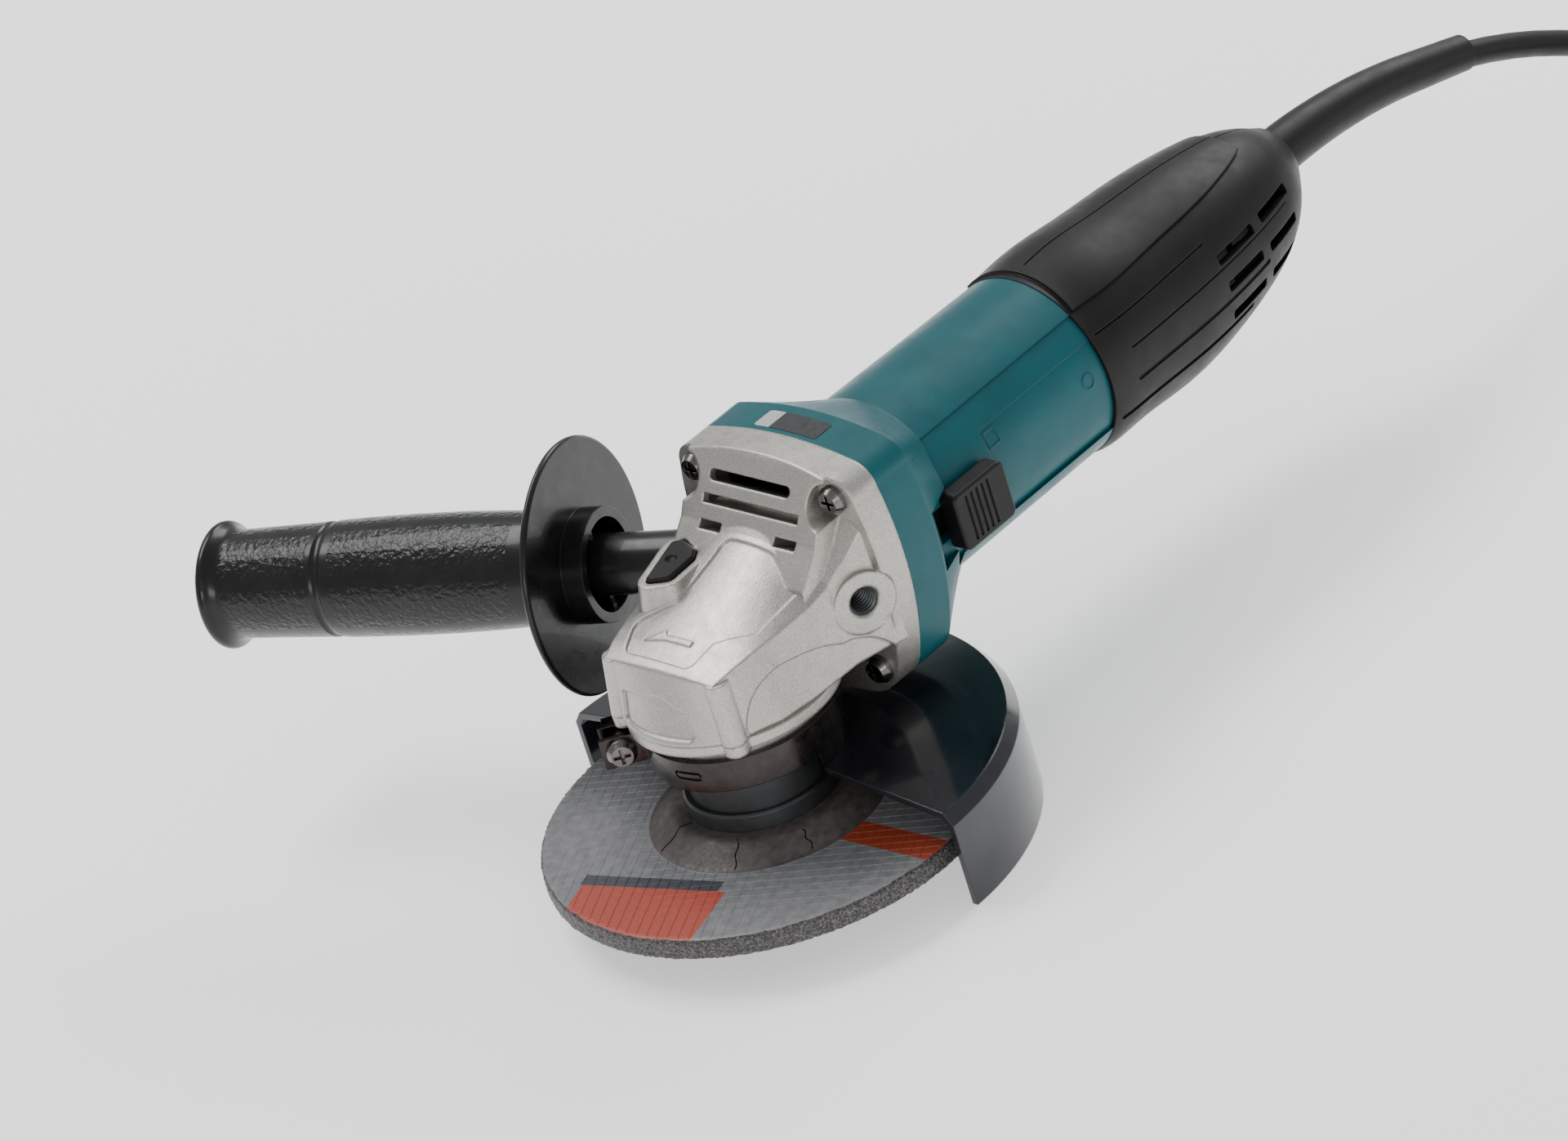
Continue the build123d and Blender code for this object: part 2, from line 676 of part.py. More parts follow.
def make_gear_housing():
    head = head_block()
    sunk = head_block(0.8)
    # the side panels end in an arch over the round gear chamber
    with BuildPart() as arch:
        with BuildSketch(Plane.XZ):
            with BuildLine():
                Polyline((30.8, 41), (30.8, 38), (-17.4, 38), (-17.4, 45))
                ThreePointArc((-17.4, 45), (-12.2, 53.6), (-3, 56.4))
                ThreePointArc((-3, 56.4), (7, 54.9), (17, 50.8))
                ThreePointArc((17, 50.8), (26, 47.4), (30.8, 41))
            make_face()
        extrude(amount=45, both=True)
        add(head_block(0, side_recess).part, mode=Mode.SUBTRACT)
        with BuildSketch(Plane.XZ):
            with Locations((26, 47)):
                Rectangle(16, 8)
        extrude(amount=17, both=True, mode=Mode.SUBTRACT)
    # sunken pad on the top and the shallow panel on the nose
    with BuildPart() as pad:
        with BuildSketch(Plane.XY.offset(55)):
            with BuildLine():
                Polyline(
                    (-18.8, 14.5),
                    (-19.2, -9.5),
                    (-10.5, -11.5),
                    (-3.5, -20),
                    (17.5, -22),
                    (17.5, 6),
                    (-2.5, 8.5),
                    (-9.5, 18.5),
                    close=True,
                )
            make_face()
            fillet(vertices(), 3.0)
        extrude(amount=30)
        add(sunk.part, mode=Mode.SUBTRACT)
    with BuildPart() as vents:
        with BuildSketch(Plane.XZ):
            Polygon(
                (12, 69),
                (20.2, 77.2),
                (30.3, 94.2),
                (32, 99),
                (joint_x, 99),
                (joint_x, 60),
                (12, 60),
                align=None,
            )
        extrude(amount=top_screw_y - 0.5, both=True)
        with BuildSketch(Plane.YZ.offset(10)):
            joint_outline()
        extrude(amount=joint_x - 10, mode=Mode.INTERSECT)
    nose = nose_block()
    sunk_nose = nose_block(0.9)
    with BuildPart() as panel:
        with BuildSketch(Plane.YZ.offset(-40)):
            with BuildLine():
                Polyline((15.0, 44.5), (15.0, 53.0), (-1, 54.5), (-9, 51.5), (-13.5, 44.5), close=True)
            make_face()
            fillet(vertices(), 2.0)
        extrude(amount=20)
        add(sunk_nose.part, mode=Mode.SUBTRACT)
    with BuildPart() as housing:
        add(head.part)
        add(nose.part)
        add(arch.part, mode=Mode.SUBTRACT)
        add(pad.part, mode=Mode.SUBTRACT)
        add(turn_arrow().part)
        for side in (1, -1):
            add(corner_pillar(side).part)
        with BuildSketch(Plane.XY.offset(lock_rim_top)):
            add(lock_outline(2.4))
        extrude(amount=-10, taper=-12)
        with BuildSketch(Plane.YZ.offset(flange_front)):
            joint_outline()
        extrude(amount=joint_x - flange_front)
        add(vents.part)
        for side in (1, -1):
            rod(handle_plane(side).offset(-boss_depth - 1), boss_radius, boss_depth + 1.5)
            rod(handle_plane(side).offset(0.5), boss_radius + 0.4, 8, Mode.SUBTRACT)
        # inside: gear chamber, pinion tunnel, bearing seats
        rod(Plane.XY.offset(plate_top), neck_radius + 0.1, 3.2, Mode.SUBTRACT)
        rod(Plane.XY.offset(plate_top), gear_chamber_radius, gear_chamber_top - plate_top, Mode.SUBTRACT)
        bush_hole = bush_bottom + bush_size[2] - gear_chamber_top
        rod(Plane.XY.offset(gear_chamber_top), bush_size[1], bush_hole, Mode.SUBTRACT)
        rod(motor_plane(10.0), 8.6, 20, Mode.SUBTRACT)
        rod(motor_plane(front_bearing_x), front_bearing_size[1], front_bearing_size[2] + 8, Mode.SUBTRACT)
        with BuildSketch(Plane.YZ.offset(35.5)):
            joint_outline()
            offset(amount=-3.2, mode=Mode.REPLACE)
            with Locations((0, motor_axis)):
                Circle(front_bearing_size[1] + 3, mode=Mode.SUBTRACT)
            for y, z in screw_points():
                with Locations((y, motor_axis + z)):
                    Circle(5.2, mode=Mode.SUBTRACT)
        extrude(amount=10, mode=Mode.SUBTRACT)
        # air duct behind the vent slots
        with BuildSketch(Plane.XZ):
            Polygon((25.2, 81), (32.0, 91.6), (36, 92), (36, 79.5), (25.2, 79.5), align=None)
        extrude(amount=19.5, both=True, mode=Mode.SUBTRACT)
        with BuildSketch(vent_plane.offset(-vent_depth)):
            for low, high, left, right in vent_slots:
                with Locations(((left + right) / 2, (low + high) / 2)):
                    if high - low > 2.7:
                        SlotOverall(right - left, high - low)
                    else:
                        Rectangle(right - left, high - low)
        extrude(amount=vent_depth + 4, mode=Mode.SUBTRACT)
        for y, z in screw_points():
            plane = Plane(origin=(flange_front, y, motor_axis + z), x_dir=(0, 1, 0), z_dir=(1, 0, 0))
            rod(plane, screw_shank_radius + 0.2, 20, Mode.SUBTRACT)
            rod(plane.offset(-16), screw_head_radius + 1.5, 16, Mode.SUBTRACT)
        for side in (1, -1):
            plane = handle_plane(side)
            rod(plane.offset(-boss_depth), handle_thread_radius, boss_depth + 4, Mode.SUBTRACT)
            with BuildSketch(plane.offset(0.5)):
                Circle(handle_thread_radius + 0.7)
            extrude(amount=-0.7, taper=45, mode=Mode.SUBTRACT)
        # shaft lock pocket, pin hole and spring seat
        with BuildSketch(Plane.XY.offset(lock_foot_bottom - lock_travel - 0.2)):
            add(lock_outline(0.3))
        extrude(amount=20, mode=Mode.SUBTRACT)
        px, py = lock_pin_point()
        pin_plane = Plane(origin=(px, py, lock_foot_bottom - lock_travel - 0.2))
        rod(pin_plane, lock_foot_radius + 0.25, lock_foot_height + lock_travel + 0.4, Mode.SUBTRACT)
        rod(pin_plane.offset(-10), lock_pin_radius + 0.1, 12, Mode.SUBTRACT)
        add(panel.part, mode=Mode.SUBTRACT)
        with BuildSketch(Plane.XY.offset(plate_top)):
            with PolarLocations(box_screw_circle, 4, start_angle=45):
                Circle(box_screw_radius + 0.05)
        # the screws reach this far above the joint plane
        extrude(amount=plate_bottom + box_screw_sink + box_screw_length + 0.3 - plate_top, mode=Mode.SUBTRACT)
    save(housing, "gear_housing")


def make_housing_screws():
    with BuildPart() as screws:
        for y, z in screw_points():
            plane = Plane(origin=(flange_front, y, motor_axis + z), x_dir=(0, -1, 0), z_dir=(-1, 0, 0))
            pan_screw(plane, screw_head_radius, 3.0, screw_shank_radius, 24)
    save(screws, "gear_housing_screws")


# ---------------------------------------------------------------- shaft lock
def make_shaft_lock():
    px, py = lock_pin_point()
    foot_top = lock_foot_bottom + lock_foot_height
    with BuildPart() as button:
        with BuildSketch(Plane.XY.offset(lock_foot_bottom)):
            add(lock_outline(0))
        extrude(amount=lock_button_top - lock_foot_bottom)
        chamfer(button.edges().group_by(Axis.Z)[-1], 0.7)
        with Locations((7.5, 17.8, lock_button_top + 1.2)):
            Sphere(2.1, mode=Mode.SUBTRACT)
        with BuildSketch(Plane.XY.offset(lock_foot_bottom)):
            with Locations((px, py)):
                Circle(lock_foot_radius)
        extrude(amount=lock_foot_height)
        rod(Plane(origin=(px, py, lock_foot_bottom - 1)), lock_pin_radius, 20, Mode.SUBTRACT)
    save(button, "shaft_lock_button")
    with BuildPart() as pin:
        rod(Plane(origin=(px, py, web_top + 1.1)), lock_pin_radius, foot_top - web_top - 1.1)
        chamfer(pin.edges().group_by(Axis.Z)[0], 0.4)
    save(pin, "shaft_lock_pin")
    with BuildPart() as spring:
        with BuildLine(Plane(origin=(px, py, lock_foot_bottom - lock_travel))):
            coil = Helix(pitch=0.85, height=3.5, radius=lock_spring_radius)
        with BuildSketch(Plane(origin=coil @ 0, z_dir=coil % 0)):
            Circle(0.22)
        sweep(is_frenet=True)
    save(spring, "shaft_lock_spring")


# ---------------------------------------------------------------- wheel guard
def guard_profile():
    """Section of the guard sheet, from the rim up to the band."""
    r = guard_radius
    t = guard_sheet
    with BuildLine() as outline:
        Polyline(
            (band_radius, guard_plate_top - t),
            (r - 3.2, guard_rim_top - t - 0.1),
            (r - t, guard_rim_top - 4.2),
            (r - t, guard_bottom),
            (r, guard_bottom),
            (r, guard_rim_top - 3.4),
            (r - 2.6, guard_rim_top),
            (band_radius, guard_plate_top),
            close=True,
        )
    make_face(outline.edges())


def make_guard():
    with BuildPart() as shell:
        with BuildSketch(Plane(origin=(0, 0, 0), x_dir=(0, -1, 0), z_dir=(-1, 0, 0))):
            guard_profile()
        revolve(axis=Axis.Z, revolution_arc=180)
    save(shell, "guard_shell")


def clamp_frame():
    """Frame of the guard clamp: X along the ears, Y along the clamp screw."""
    turn = radians(clamp_angle)
    return Plane(origin=(0, 0, 0), x_dir=(cos(turn), sin(turn), 0), z_dir=(0, 0, 1))


def clamp_screw_plane(along):
    """Plane across the clamp screw, its Z pointing to the screw head."""
    frame = clamp_frame()
    centre = frame.from_local_coords(Vector(clamp_screw_at, along, clamp_screw_z))
    return Plane(origin=centre, x_dir=frame.x_dir, z_dir=frame.y_dir)


def make_guard_band():
    low = guard_plate_top - guard_sheet
    ear_start = band_radius - 1
    with BuildPart(clamp_frame()) as band:
        with BuildSketch(clamp_frame().offset(neck_bottom)):
            Circle(band_radius)
            Circle(band_radius - band_sheet, mode=Mode.SUBTRACT)
        extrude(amount=band_top - neck_bottom)
        with Locations((band_radius, 0, (neck_bottom + band_top) / 2)):
            Box(8, clamp_gap, 20, mode=Mode.SUBTRACT)
        for side in (1, -1):
            with Locations(((ear_start + clamp_ear_reach) / 2, side * (clamp_gap / 2 + 0.8), clamp_screw_z)):
                Box(clamp_ear_reach - ear_start, 1.6, clamp_ear_height)
        rod(clamp_screw_plane(-8), clamp_screw_radius + 0.1, 16, Mode.SUBTRACT)
    with BuildPart() as skirt:
        with BuildSketch(Plane.XY.offset(low)):
            Circle(band_radius)
            Circle(band_radius - band_sheet, mode=Mode.SUBTRACT)
            with Locations((-50, 0)):
                Rectangle(100, 100, mode=Mode.SUBTRACT)
        extrude(amount=neck_bottom - low)
    # pressed key slot at the front of the band
    with BuildPart() as key:
        turn = radians(9)
        with BuildSketch(Plane(origin=(0, 0, 0), x_dir=(sin(turn), -cos(turn), 0), z_dir=(-cos(turn), -sin(turn), 0))):
            with Locations((0, 31.8)):
                SlotOverall(8.6, 2.6)
                SlotOverall(7.2, 1.2, mode=Mode.SUBTRACT)
        extrude(amount=30)
        rod(Plane.XY.offset(20), band_radius - 0.5, 20, Mode.SUBTRACT)
    with BuildPart() as whole:
        add(band.part)
        add(skirt.part)
        add(key.part, mode=Mode.SUBTRACT)
    save(whole, "guard_band")


def make_clamp_screw():
    ear_face = clamp_gap / 2 + 1.6
    with BuildPart() as screw:
        pan_screw(clamp_screw_plane(ear_face), 4.0, 3.0, clamp_screw_radius, ear_face * 2 + 5.2)
    save(screw, "guard_clamp_screw")
    with BuildPart() as nut:
        with BuildSketch(clamp_screw_plane(-ear_face - 4.0)):
            Rectangle(8, 8)
            Circle(clamp_screw_radius + fit_gap, mode=Mode.SUBTRACT)
        extrude(amount=4.0)
    save(nut, "guard_clamp_nut")


# ---------------------------------------------------------------- side handle
def make_handle():
    frame = handle_plane(1)
    start = guard_disc_offset
    end = start + grip_length
    groove = start + grip_groove_at
    with BuildPart() as stud:
        rod(frame.offset(3.0 - boss_depth), handle_thread_radius - fit_gap, boss_depth + 22)
    save(stud, "side_handle_stud")
    with BuildPart() as grip:
        with BuildSketch():
            with BuildLine():
                Line((0, 0.5), (stem_radius, 0.5))
                Line((stem_radius, 0.5), (stem_radius, start))
                Line((stem_radius, start), (12.7, start))
                Line((12.7, start), (12.7, start - 7))
                Line((12.7, start - 7), (15.5, start - 7))
                Line((15.5, start - 7), (15.5, start - 0.6))
                Line((15.5, start - 0.6), (guard_disc_radius - 1, start - 0.6))
                ThreePointArc(
                    (guard_disc_radius - 1, start - 0.6),
                    (guard_disc_radius, start + 0.4),
                    (guard_disc_radius - 1, start + 1.4),
                )
                Line((guard_disc_radius - 1, start + 1.4), (14.4, start + 2.4))
                Spline(
                    (14.4, start + 2.4),
                    (15.7, start + 22),
                    (16.2, start + 48),
                    (15.7, groove - 1.6),
                )
                ThreePointArc((15.7, groove - 1.6), (14.9, groove), (15.5, groove + 1.6))
                Spline(
                    (15.5, groove + 1.6),
                    (15.1, groove + 14),
                    (14.7, end - 8),
                )
                ThreePointArc((14.7, end - 8), (15.4, end - 4.6), (16.7, end - 3.0))
                ThreePointArc((16.7, end - 3.0), (16.9, end - 0.6), (15.2, end))
                Line((15.2, end), (0, end - 0.6))
                Line((0, end - 0.6), (0, 0.5))
            make_face()
        revolve(axis=Axis.Y)
        with BuildSketch(Plane.XZ.offset(-start)):
            Rectangle(2.0, 30)
            Rectangle(30, 2.0)
            Circle(stem_radius - 1, mode=Mode.SUBTRACT)
            Circle(14.0, mode=Mode.INTERSECT)
        extrude(amount=4.5)
        with BuildSketch(Plane.XZ.offset(-0.5)):
            Circle(handle_thread_radius)
        extrude(amount=-24.6, mode=Mode.SUBTRACT)
    turned = frame.location * Rot(90, 0, 0) * grip.part
    grip.part = turned
    save(grip, "side_handle_grip")


# ---------------------------------------------------------------- motor housing
def switch_window():
    """Solid through the left wall where the switch stem slides."""
    with BuildPart() as window:
        with Locations((switch_x, -body_radius, switch_z)):
            Box(
                switch_stem_length + switch_travel + 2,
                24,
                switch_stem_height + 1,
            )
    return window


def body_form(grow):
    """Round part of the motor housing from the neck to the cover, grown all round."""
    with BuildSketch(motor_plane(neck_end - 8)) as start:
        Circle(body_radius + 8 * (body_radius - cover_joint_radius) / (cover_joint - neck_end) + grow)
    with BuildSketch(motor_plane(cover_joint)) as finish:
        Circle(cover_joint_radius + grow)
    with BuildPart() as form:
        loft([start.sketch, finish.sketch])
    return form


def side_slab(grow, outline):
    """Layer outside the grown body form, seen from the side as the outline, on both sides."""
    with BuildPart() as slab:
        with BuildSketch(Plane.XZ):
            Polygon(*[(x, motor_axis + z) for x, z in outline], align=None)
            fillet(vertices(), 1.5)
        extrude(amount=60, both=True)
        add(body_form(grow).part, mode=Mode.SUBTRACT)
    return slab


def panel_cuts():
    """The recessed side panel, and the lower band of it cut once more."""
    panel = [
        (panel_start - 3.0, panel_low),
        (cover_joint + 2, panel_low),
        (cover_joint + 2, saddle_rise - 0.8),
        (panel_start + 3, saddle_rise - 0.8),
        (panel_start, saddle_rise - 4),
    ]
    band = [
        (band_start, panel_low),
        (cover_joint + 2, panel_low),
        (cover_joint + 2, band_rise),
        (band_start, band_rise),
    ]
    return [side_slab(-panel_step, panel), side_slab(-panel_step - band_step, band)]


def raised_marks():
    """Raised outlines on the left panel: the off square, the on bar and a small ring."""
    with BuildPart() as marks:
        with BuildSketch(Plane.XZ):
            with Locations((87.0, motor_axis + 9.6)):
                Rectangle(4.6, 4.6)
                Rectangle(3.6, 3.6, mode=Mode.SUBTRACT)
            with Locations((123.3, motor_axis + 4.6)):
                Circle(2.2)
                Circle(1.8, mode=Mode.SUBTRACT)
        extrude(amount=40)
        add(body_form(mark_relief - panel_step - band_step).part, mode=Mode.INTERSECT)
    return marks


def make_motor_housing():
    with BuildPart() as housing:
        with BuildSketch(Plane.YZ.offset(joint_x)):
            joint_outline()
        extrude(amount=neck_start - joint_x)
        with BuildSketch(Plane.YZ.offset(neck_start)) as front:
            joint_outline()
        with BuildSketch(motor_plane(neck_end)) as back:
            Circle(body_radius)
        loft([front.sketch, back.sketch])
        with BuildSketch(motor_plane(neck_end)) as start:
            Circle(body_radius)
        with BuildSketch(motor_plane(cover_joint)) as finish:
            Circle(cover_joint_radius)
        loft([start.sketch, finish.sketch])
        # front chamber for the fan, then the stator bore
        with BuildSketch(Plane.YZ.offset(joint_x)) as mouth:
            joint_outline()
            offset(amount=-housing_wall - 0.4, mode=Mode.REPLACE)
            for y, z in screw_points():
                with Locations((y, motor_axis + z)):
                    Circle(5.0, mode=Mode.SUBTRACT)
        with BuildSketch(motor_plane(joint_x)) as tunnel:
            Circle(stator_radius + 0.1)
    housing.part = housing.part - extrude(mouth.sketch, amount=stator_start - 4 - joint_x - 2)
    housing.part = housing.part - extrude(tunnel.sketch, amount=cover_joint - joint_x + 1)
    with BuildPart() as frame:
        # rear frame inside the cover: ring, bearing wall and windows for the air
        ring(motor_plane(cover_joint - 6), frame_radius - 2, stator_radius + 0.1, 6)
        ring(motor_plane(cover_joint - 6), frame_radius - 2, frame_radius, body_tail - cover_joint + 6)
        ring(motor_plane(body_tail - 9), 0.01, frame_radius, 9)
        rod(motor_plane(rear_bearing_x), rear_bearing_size[1], 20, Mode.SUBTRACT)
        rod(motor_plane(cover_joint), rear_bearing_size[1] - 3, 40, Mode.SUBTRACT)
        with BuildSketch(motor_plane(body_tail - 12)):
            with PolarLocations(16.2, 4, start_angle=45):
                Rectangle(6.5, 13)
        extrude(amount=14, mode=Mode.SUBTRACT)
        with BuildSketch(Plane.XY.offset(motor_axis)):
            with Locations((brush_x, 0)):
                Rectangle(brush_box[0] + 0.3, brush_box[1] + 0.3)
        extrude(amount=40, both=True, mode=Mode.SUBTRACT)
        with Locations((cover_joint, -frame_radius, switch_z)):
            Box(80, 7.4, rod_height + 1.2, mode=Mode.SUBTRACT)
    with BuildPart() as marks:
        add(raised_marks().part)
        rod(motor_plane(joint_x), stator_radius + 1, cover_joint - joint_x, Mode.SUBTRACT)
    with BuildPart() as whole:
        add(housing.part)
        for cut in panel_cuts():
            add(cut.part, mode=Mode.SUBTRACT)
        add(marks.part)
        add(frame.part)
        add(switch_window().part, mode=Mode.SUBTRACT)
        with Locations((switch_x, -body_radius - 10.2, switch_z)):
            Box(switch_length + switch_travel + 2, 20, switch_height + 1.2, mode=Mode.SUBTRACT)
        with BuildSketch(Plane.YZ.offset(joint_x)):
            for y, z in screw_points():
                with Locations((y, motor_axis + z)):
                    Circle(screw_shank_radius + 0.03)
        extrude(amount=16, mode=Mode.SUBTRACT)
        rod(cover_screw_plane(0), cover_screw_radius + 0.03, 14, Mode.SUBTRACT)
    save(whole, "motor_housing")


def cover_screw_plane(depth):
    """Plane across the rear cover's screw, facing inwards, depth below the cover."""
    return Plane(
        origin=(cover_screw_x, 0, motor_axis - frame_radius - 1.0 + depth),
        x_dir=(1, 0, 0),
        z_dir=(0, 0, 1),
    )


# ---------------------------------------------------------------- switch
def make_switch():
    face = -body_radius - 0.35
    with BuildPart() as knob:
        with Locations((switch_x + switch_travel / 2, face - switch_proud / 2, switch_z)):
            Box(switch_length, switch_proud, switch_height)
        fillet(knob.edges().filter_by(Axis.Y), 2.2)
        fillet(knob.faces().sort_by(Axis.Y)[0].edges(), 0.9)
        for k in range(5):
            with Locations((switch_x + switch_travel / 2 - 5.6 + k * 2.1, face - switch_proud, switch_z)):
                Box(0.9, 1.0, switch_height - 3.6, mode=Mode.SUBTRACT)
        with Locations((switch_x + switch_travel / 2, (face - rod_y) / 2 + rod_y, switch_z)):
            Box(switch_stem_length, rod_y - face, switch_stem_height)
    save(knob, "slide_switch_knob")
    length = switch_unit_x - (switch_x - switch_stem_length / 2) - 3
    with BuildPart() as bar:
        middle = switch_x + (switch_travel - switch_stem_length + length) / 2
        with Locations((middle, rod_y + 0.75, switch_z)):
            Box(length, 1.5, rod_height)
    save(bar, "switch_rod")
    with BuildPart() as unit:
        with Locations((switch_unit_x + 18, -14, switch_z + 1)):
            Box(30, 11, 22)
        fillet(unit.edges().filter_by(Axis.X), 1.0)
        with Locations((switch_unit_x + 5, -20.6, switch_z)):
            Box(5, 2.2, 7)
    save(unit, "switch_unit")


# ---------------------------------------------------------------- motor
def make_armature():
    with BuildPart() as shaft:
        rod(motor_plane(11.2), 3.0, front_bearing_x - 11.2)
        rod(motor_plane(front_bearing_x), front_bearing_size[0] - 0.02, stator_start - front_bearing_x)
        rod(motor_plane(stator_start), 5.6, commutator_start + commutator_length - stator_start)
        end = commutator_start + commutator_length
        rod(motor_plane(end), rear_bearing_size[0] - 0.02, rear_bearing_x + 6.6 - end)
    save(shaft, "armature_shaft")
    with BuildPart() as nut:
        with BuildSketch(motor_plane(11.0)):
            RegularPolygon(4.2, 6)
            Circle(3.0 + 0.01, mode=Mode.SUBTRACT)
        extrude(amount=gear_pitch_radius * gear_face_share - 11.0 - 0.1)
    save(nut, "pinion_nut")
    with BuildPart() as core:
        ring(motor_plane(stator_start), 5.6 + 0.01, core_radius, stator_length)
        with BuildSketch(motor_plane(stator_start)):
            with PolarLocations(core_radius, 12):
                Rectangle(5.5, 1.3)
        extrude(amount=stator_length, mode=Mode.SUBTRACT)
    save(core, "armature_core")
    with BuildPart() as windings:
        ring(motor_plane(stator_start - 5.5), 5.7, core_radius - 1.6, 5.5)
        ring(motor_plane(stator_start + stator_length), 5.7, core_radius - 1.6, 6.5)
        fillet(windings.edges().filter_by(GeomType.CIRCLE).group_by(SortBy.RADIUS)[-1], 1.2)
    save(windings, "armature_windings")
    with BuildPart() as bars:
        ring(motor_plane(commutator_start), 5.6 + 0.01, commutator_radius, commutator_length)
        with BuildSketch(motor_plane(commutator_start + 2)):
            with PolarLocations(commutator_radius, 24):
                Rectangle(1.2, 0.5)
        extrude(amount=commutator_length - 2, mode=Mode.SUBTRACT)
    save(bars, "commutator")
    with BuildPart() as fan:
        ring(motor_plane(fan_x), front_bearing_size[0] + 0.02, 9.0, fan_width)
        ring(motor_plane(fan_x), 8.0, fan_radius, 1.8)
        with BuildSketch(motor_plane(fan_x + 1.8)):
            with PolarLocations(fan_radius - 6.2, 17):
                with Locations(Rotation(0, 0, 30)):
                    Rectangle(11.0, 1.3)
        extrude(amount=fan_width - 2.6)
    save(fan, "cooling_fan")


def make_stator():
    with BuildPart() as core:
        with BuildSketch(motor_plane(stator_start)):
            Circle(stator_radius)
            Circle(core_radius + 0.6, mode=Mode.SUBTRACT)
            for side in (1, -1):
                with Locations((side * (stator_flat + 5), 0)):
                    Rectangle(10, 60, mode=Mode.SUBTRACT)
        extrude(amount=stator_length)
    save(core, "stator_core")
    with BuildPart() as coils:
        for x in (stator_start - 4.5, stator_start + stator_length):
            with BuildSketch(motor_plane(x)):
                Circle(stator_flat - 1.2)
                Circle(core_radius + 0.8, mode=Mode.SUBTRACT)
                Rectangle(50, 9, mode=Mode.SUBTRACT)
            extrude(amount=4.5)
    save(coils, "stator_windings")
    with BuildPart() as baffle:
        with BuildSketch(motor_plane(baffle_x)):
            Circle(stator_radius)
            Circle(core_radius + 2, mode=Mode.SUBTRACT)
            with Locations((-stator_flat - 4, 0)):
                Rectangle(8, rod_height + 6, mode=Mode.SUBTRACT)
        extrude(amount=1.5)
    save(baffle, "air_baffle")


def brush_plane(side, height):
    """Plane across a brush, its Z pointing out from the motor axis."""
    return Plane(origin=(brush_x, 0, motor_axis + side * height), x_dir=(1, 0, 0), z_dir=(0, 0, side))


def make_brushes():
    with BuildPart() as holders:
        for side in (1, -1):
            with BuildSketch(brush_plane(side, 12.5)):
                Rectangle(brush_box[0], brush_box[1])
                Rectangle(brush_box[0] - 1.2, brush_box[1] - 1.2, mode=Mode.SUBTRACT)
            extrude(amount=11)
            with BuildSketch(brush_plane(side, 23.5)):
                Rectangle(brush_box[0], brush_box[1])
            extrude(amount=0.6)
    save(holders, "brush_holders")
    with BuildPart() as brushes:
        for side in (1, -1):
            with BuildSketch(brush_plane(side, commutator_radius + 0.02)):
                Rectangle(brush_box[0] - 1.4, brush_box[1] - 1.4)
            extrude(amount=8)
    save(brushes, "carbon_brushes")
    with BuildPart() as springs:
        with BuildLine(brush_plane(1, commutator_radius + 8.4)):
            coil = Helix(pitch=0.9, height=3.6, radius=1.7)
        with BuildSketch(Plane(origin=coil @ 0, z_dir=coil % 0)):
            Circle(0.2)
        sweep(is_frenet=True)
        mirror(about=Plane.XY.offset(motor_axis))
    save(springs, "brush_springs")


# ---------------------------------------------------------------- rear cover
# stations along X: place, radius and rise of the centre above the motor axis
cover_stations = [
    (cover_joint, 27.6, 0.0),
    (141.0, 28.3, -0.5),
    (162.0, 28.1, -1.3),
    (182.0, 26.9, -1.2),
    (198.5, 24.5, -0.3),
    (211.0, 21.6, 0.6),
    (220.0, 18.1, 1.7),
    (226.5, 13.9, 2.8),
    (cover_end, 10.0, 4.2),
]


def cover_form(shrink):
    """Lofted solid of the rear cover, shrunk all round."""
    faces = []
    for x, radius, rise in cover_stations:
        plane = Plane(origin=(x, 0, motor_axis + rise), x_dir=(0, 1, 0), z_dir=(1, 0, 0))
        with BuildSketch(plane) as face:
            Circle(radius - shrink)
        faces.append(face.sketch)
    with BuildPart() as form:
        loft(faces)
    return form


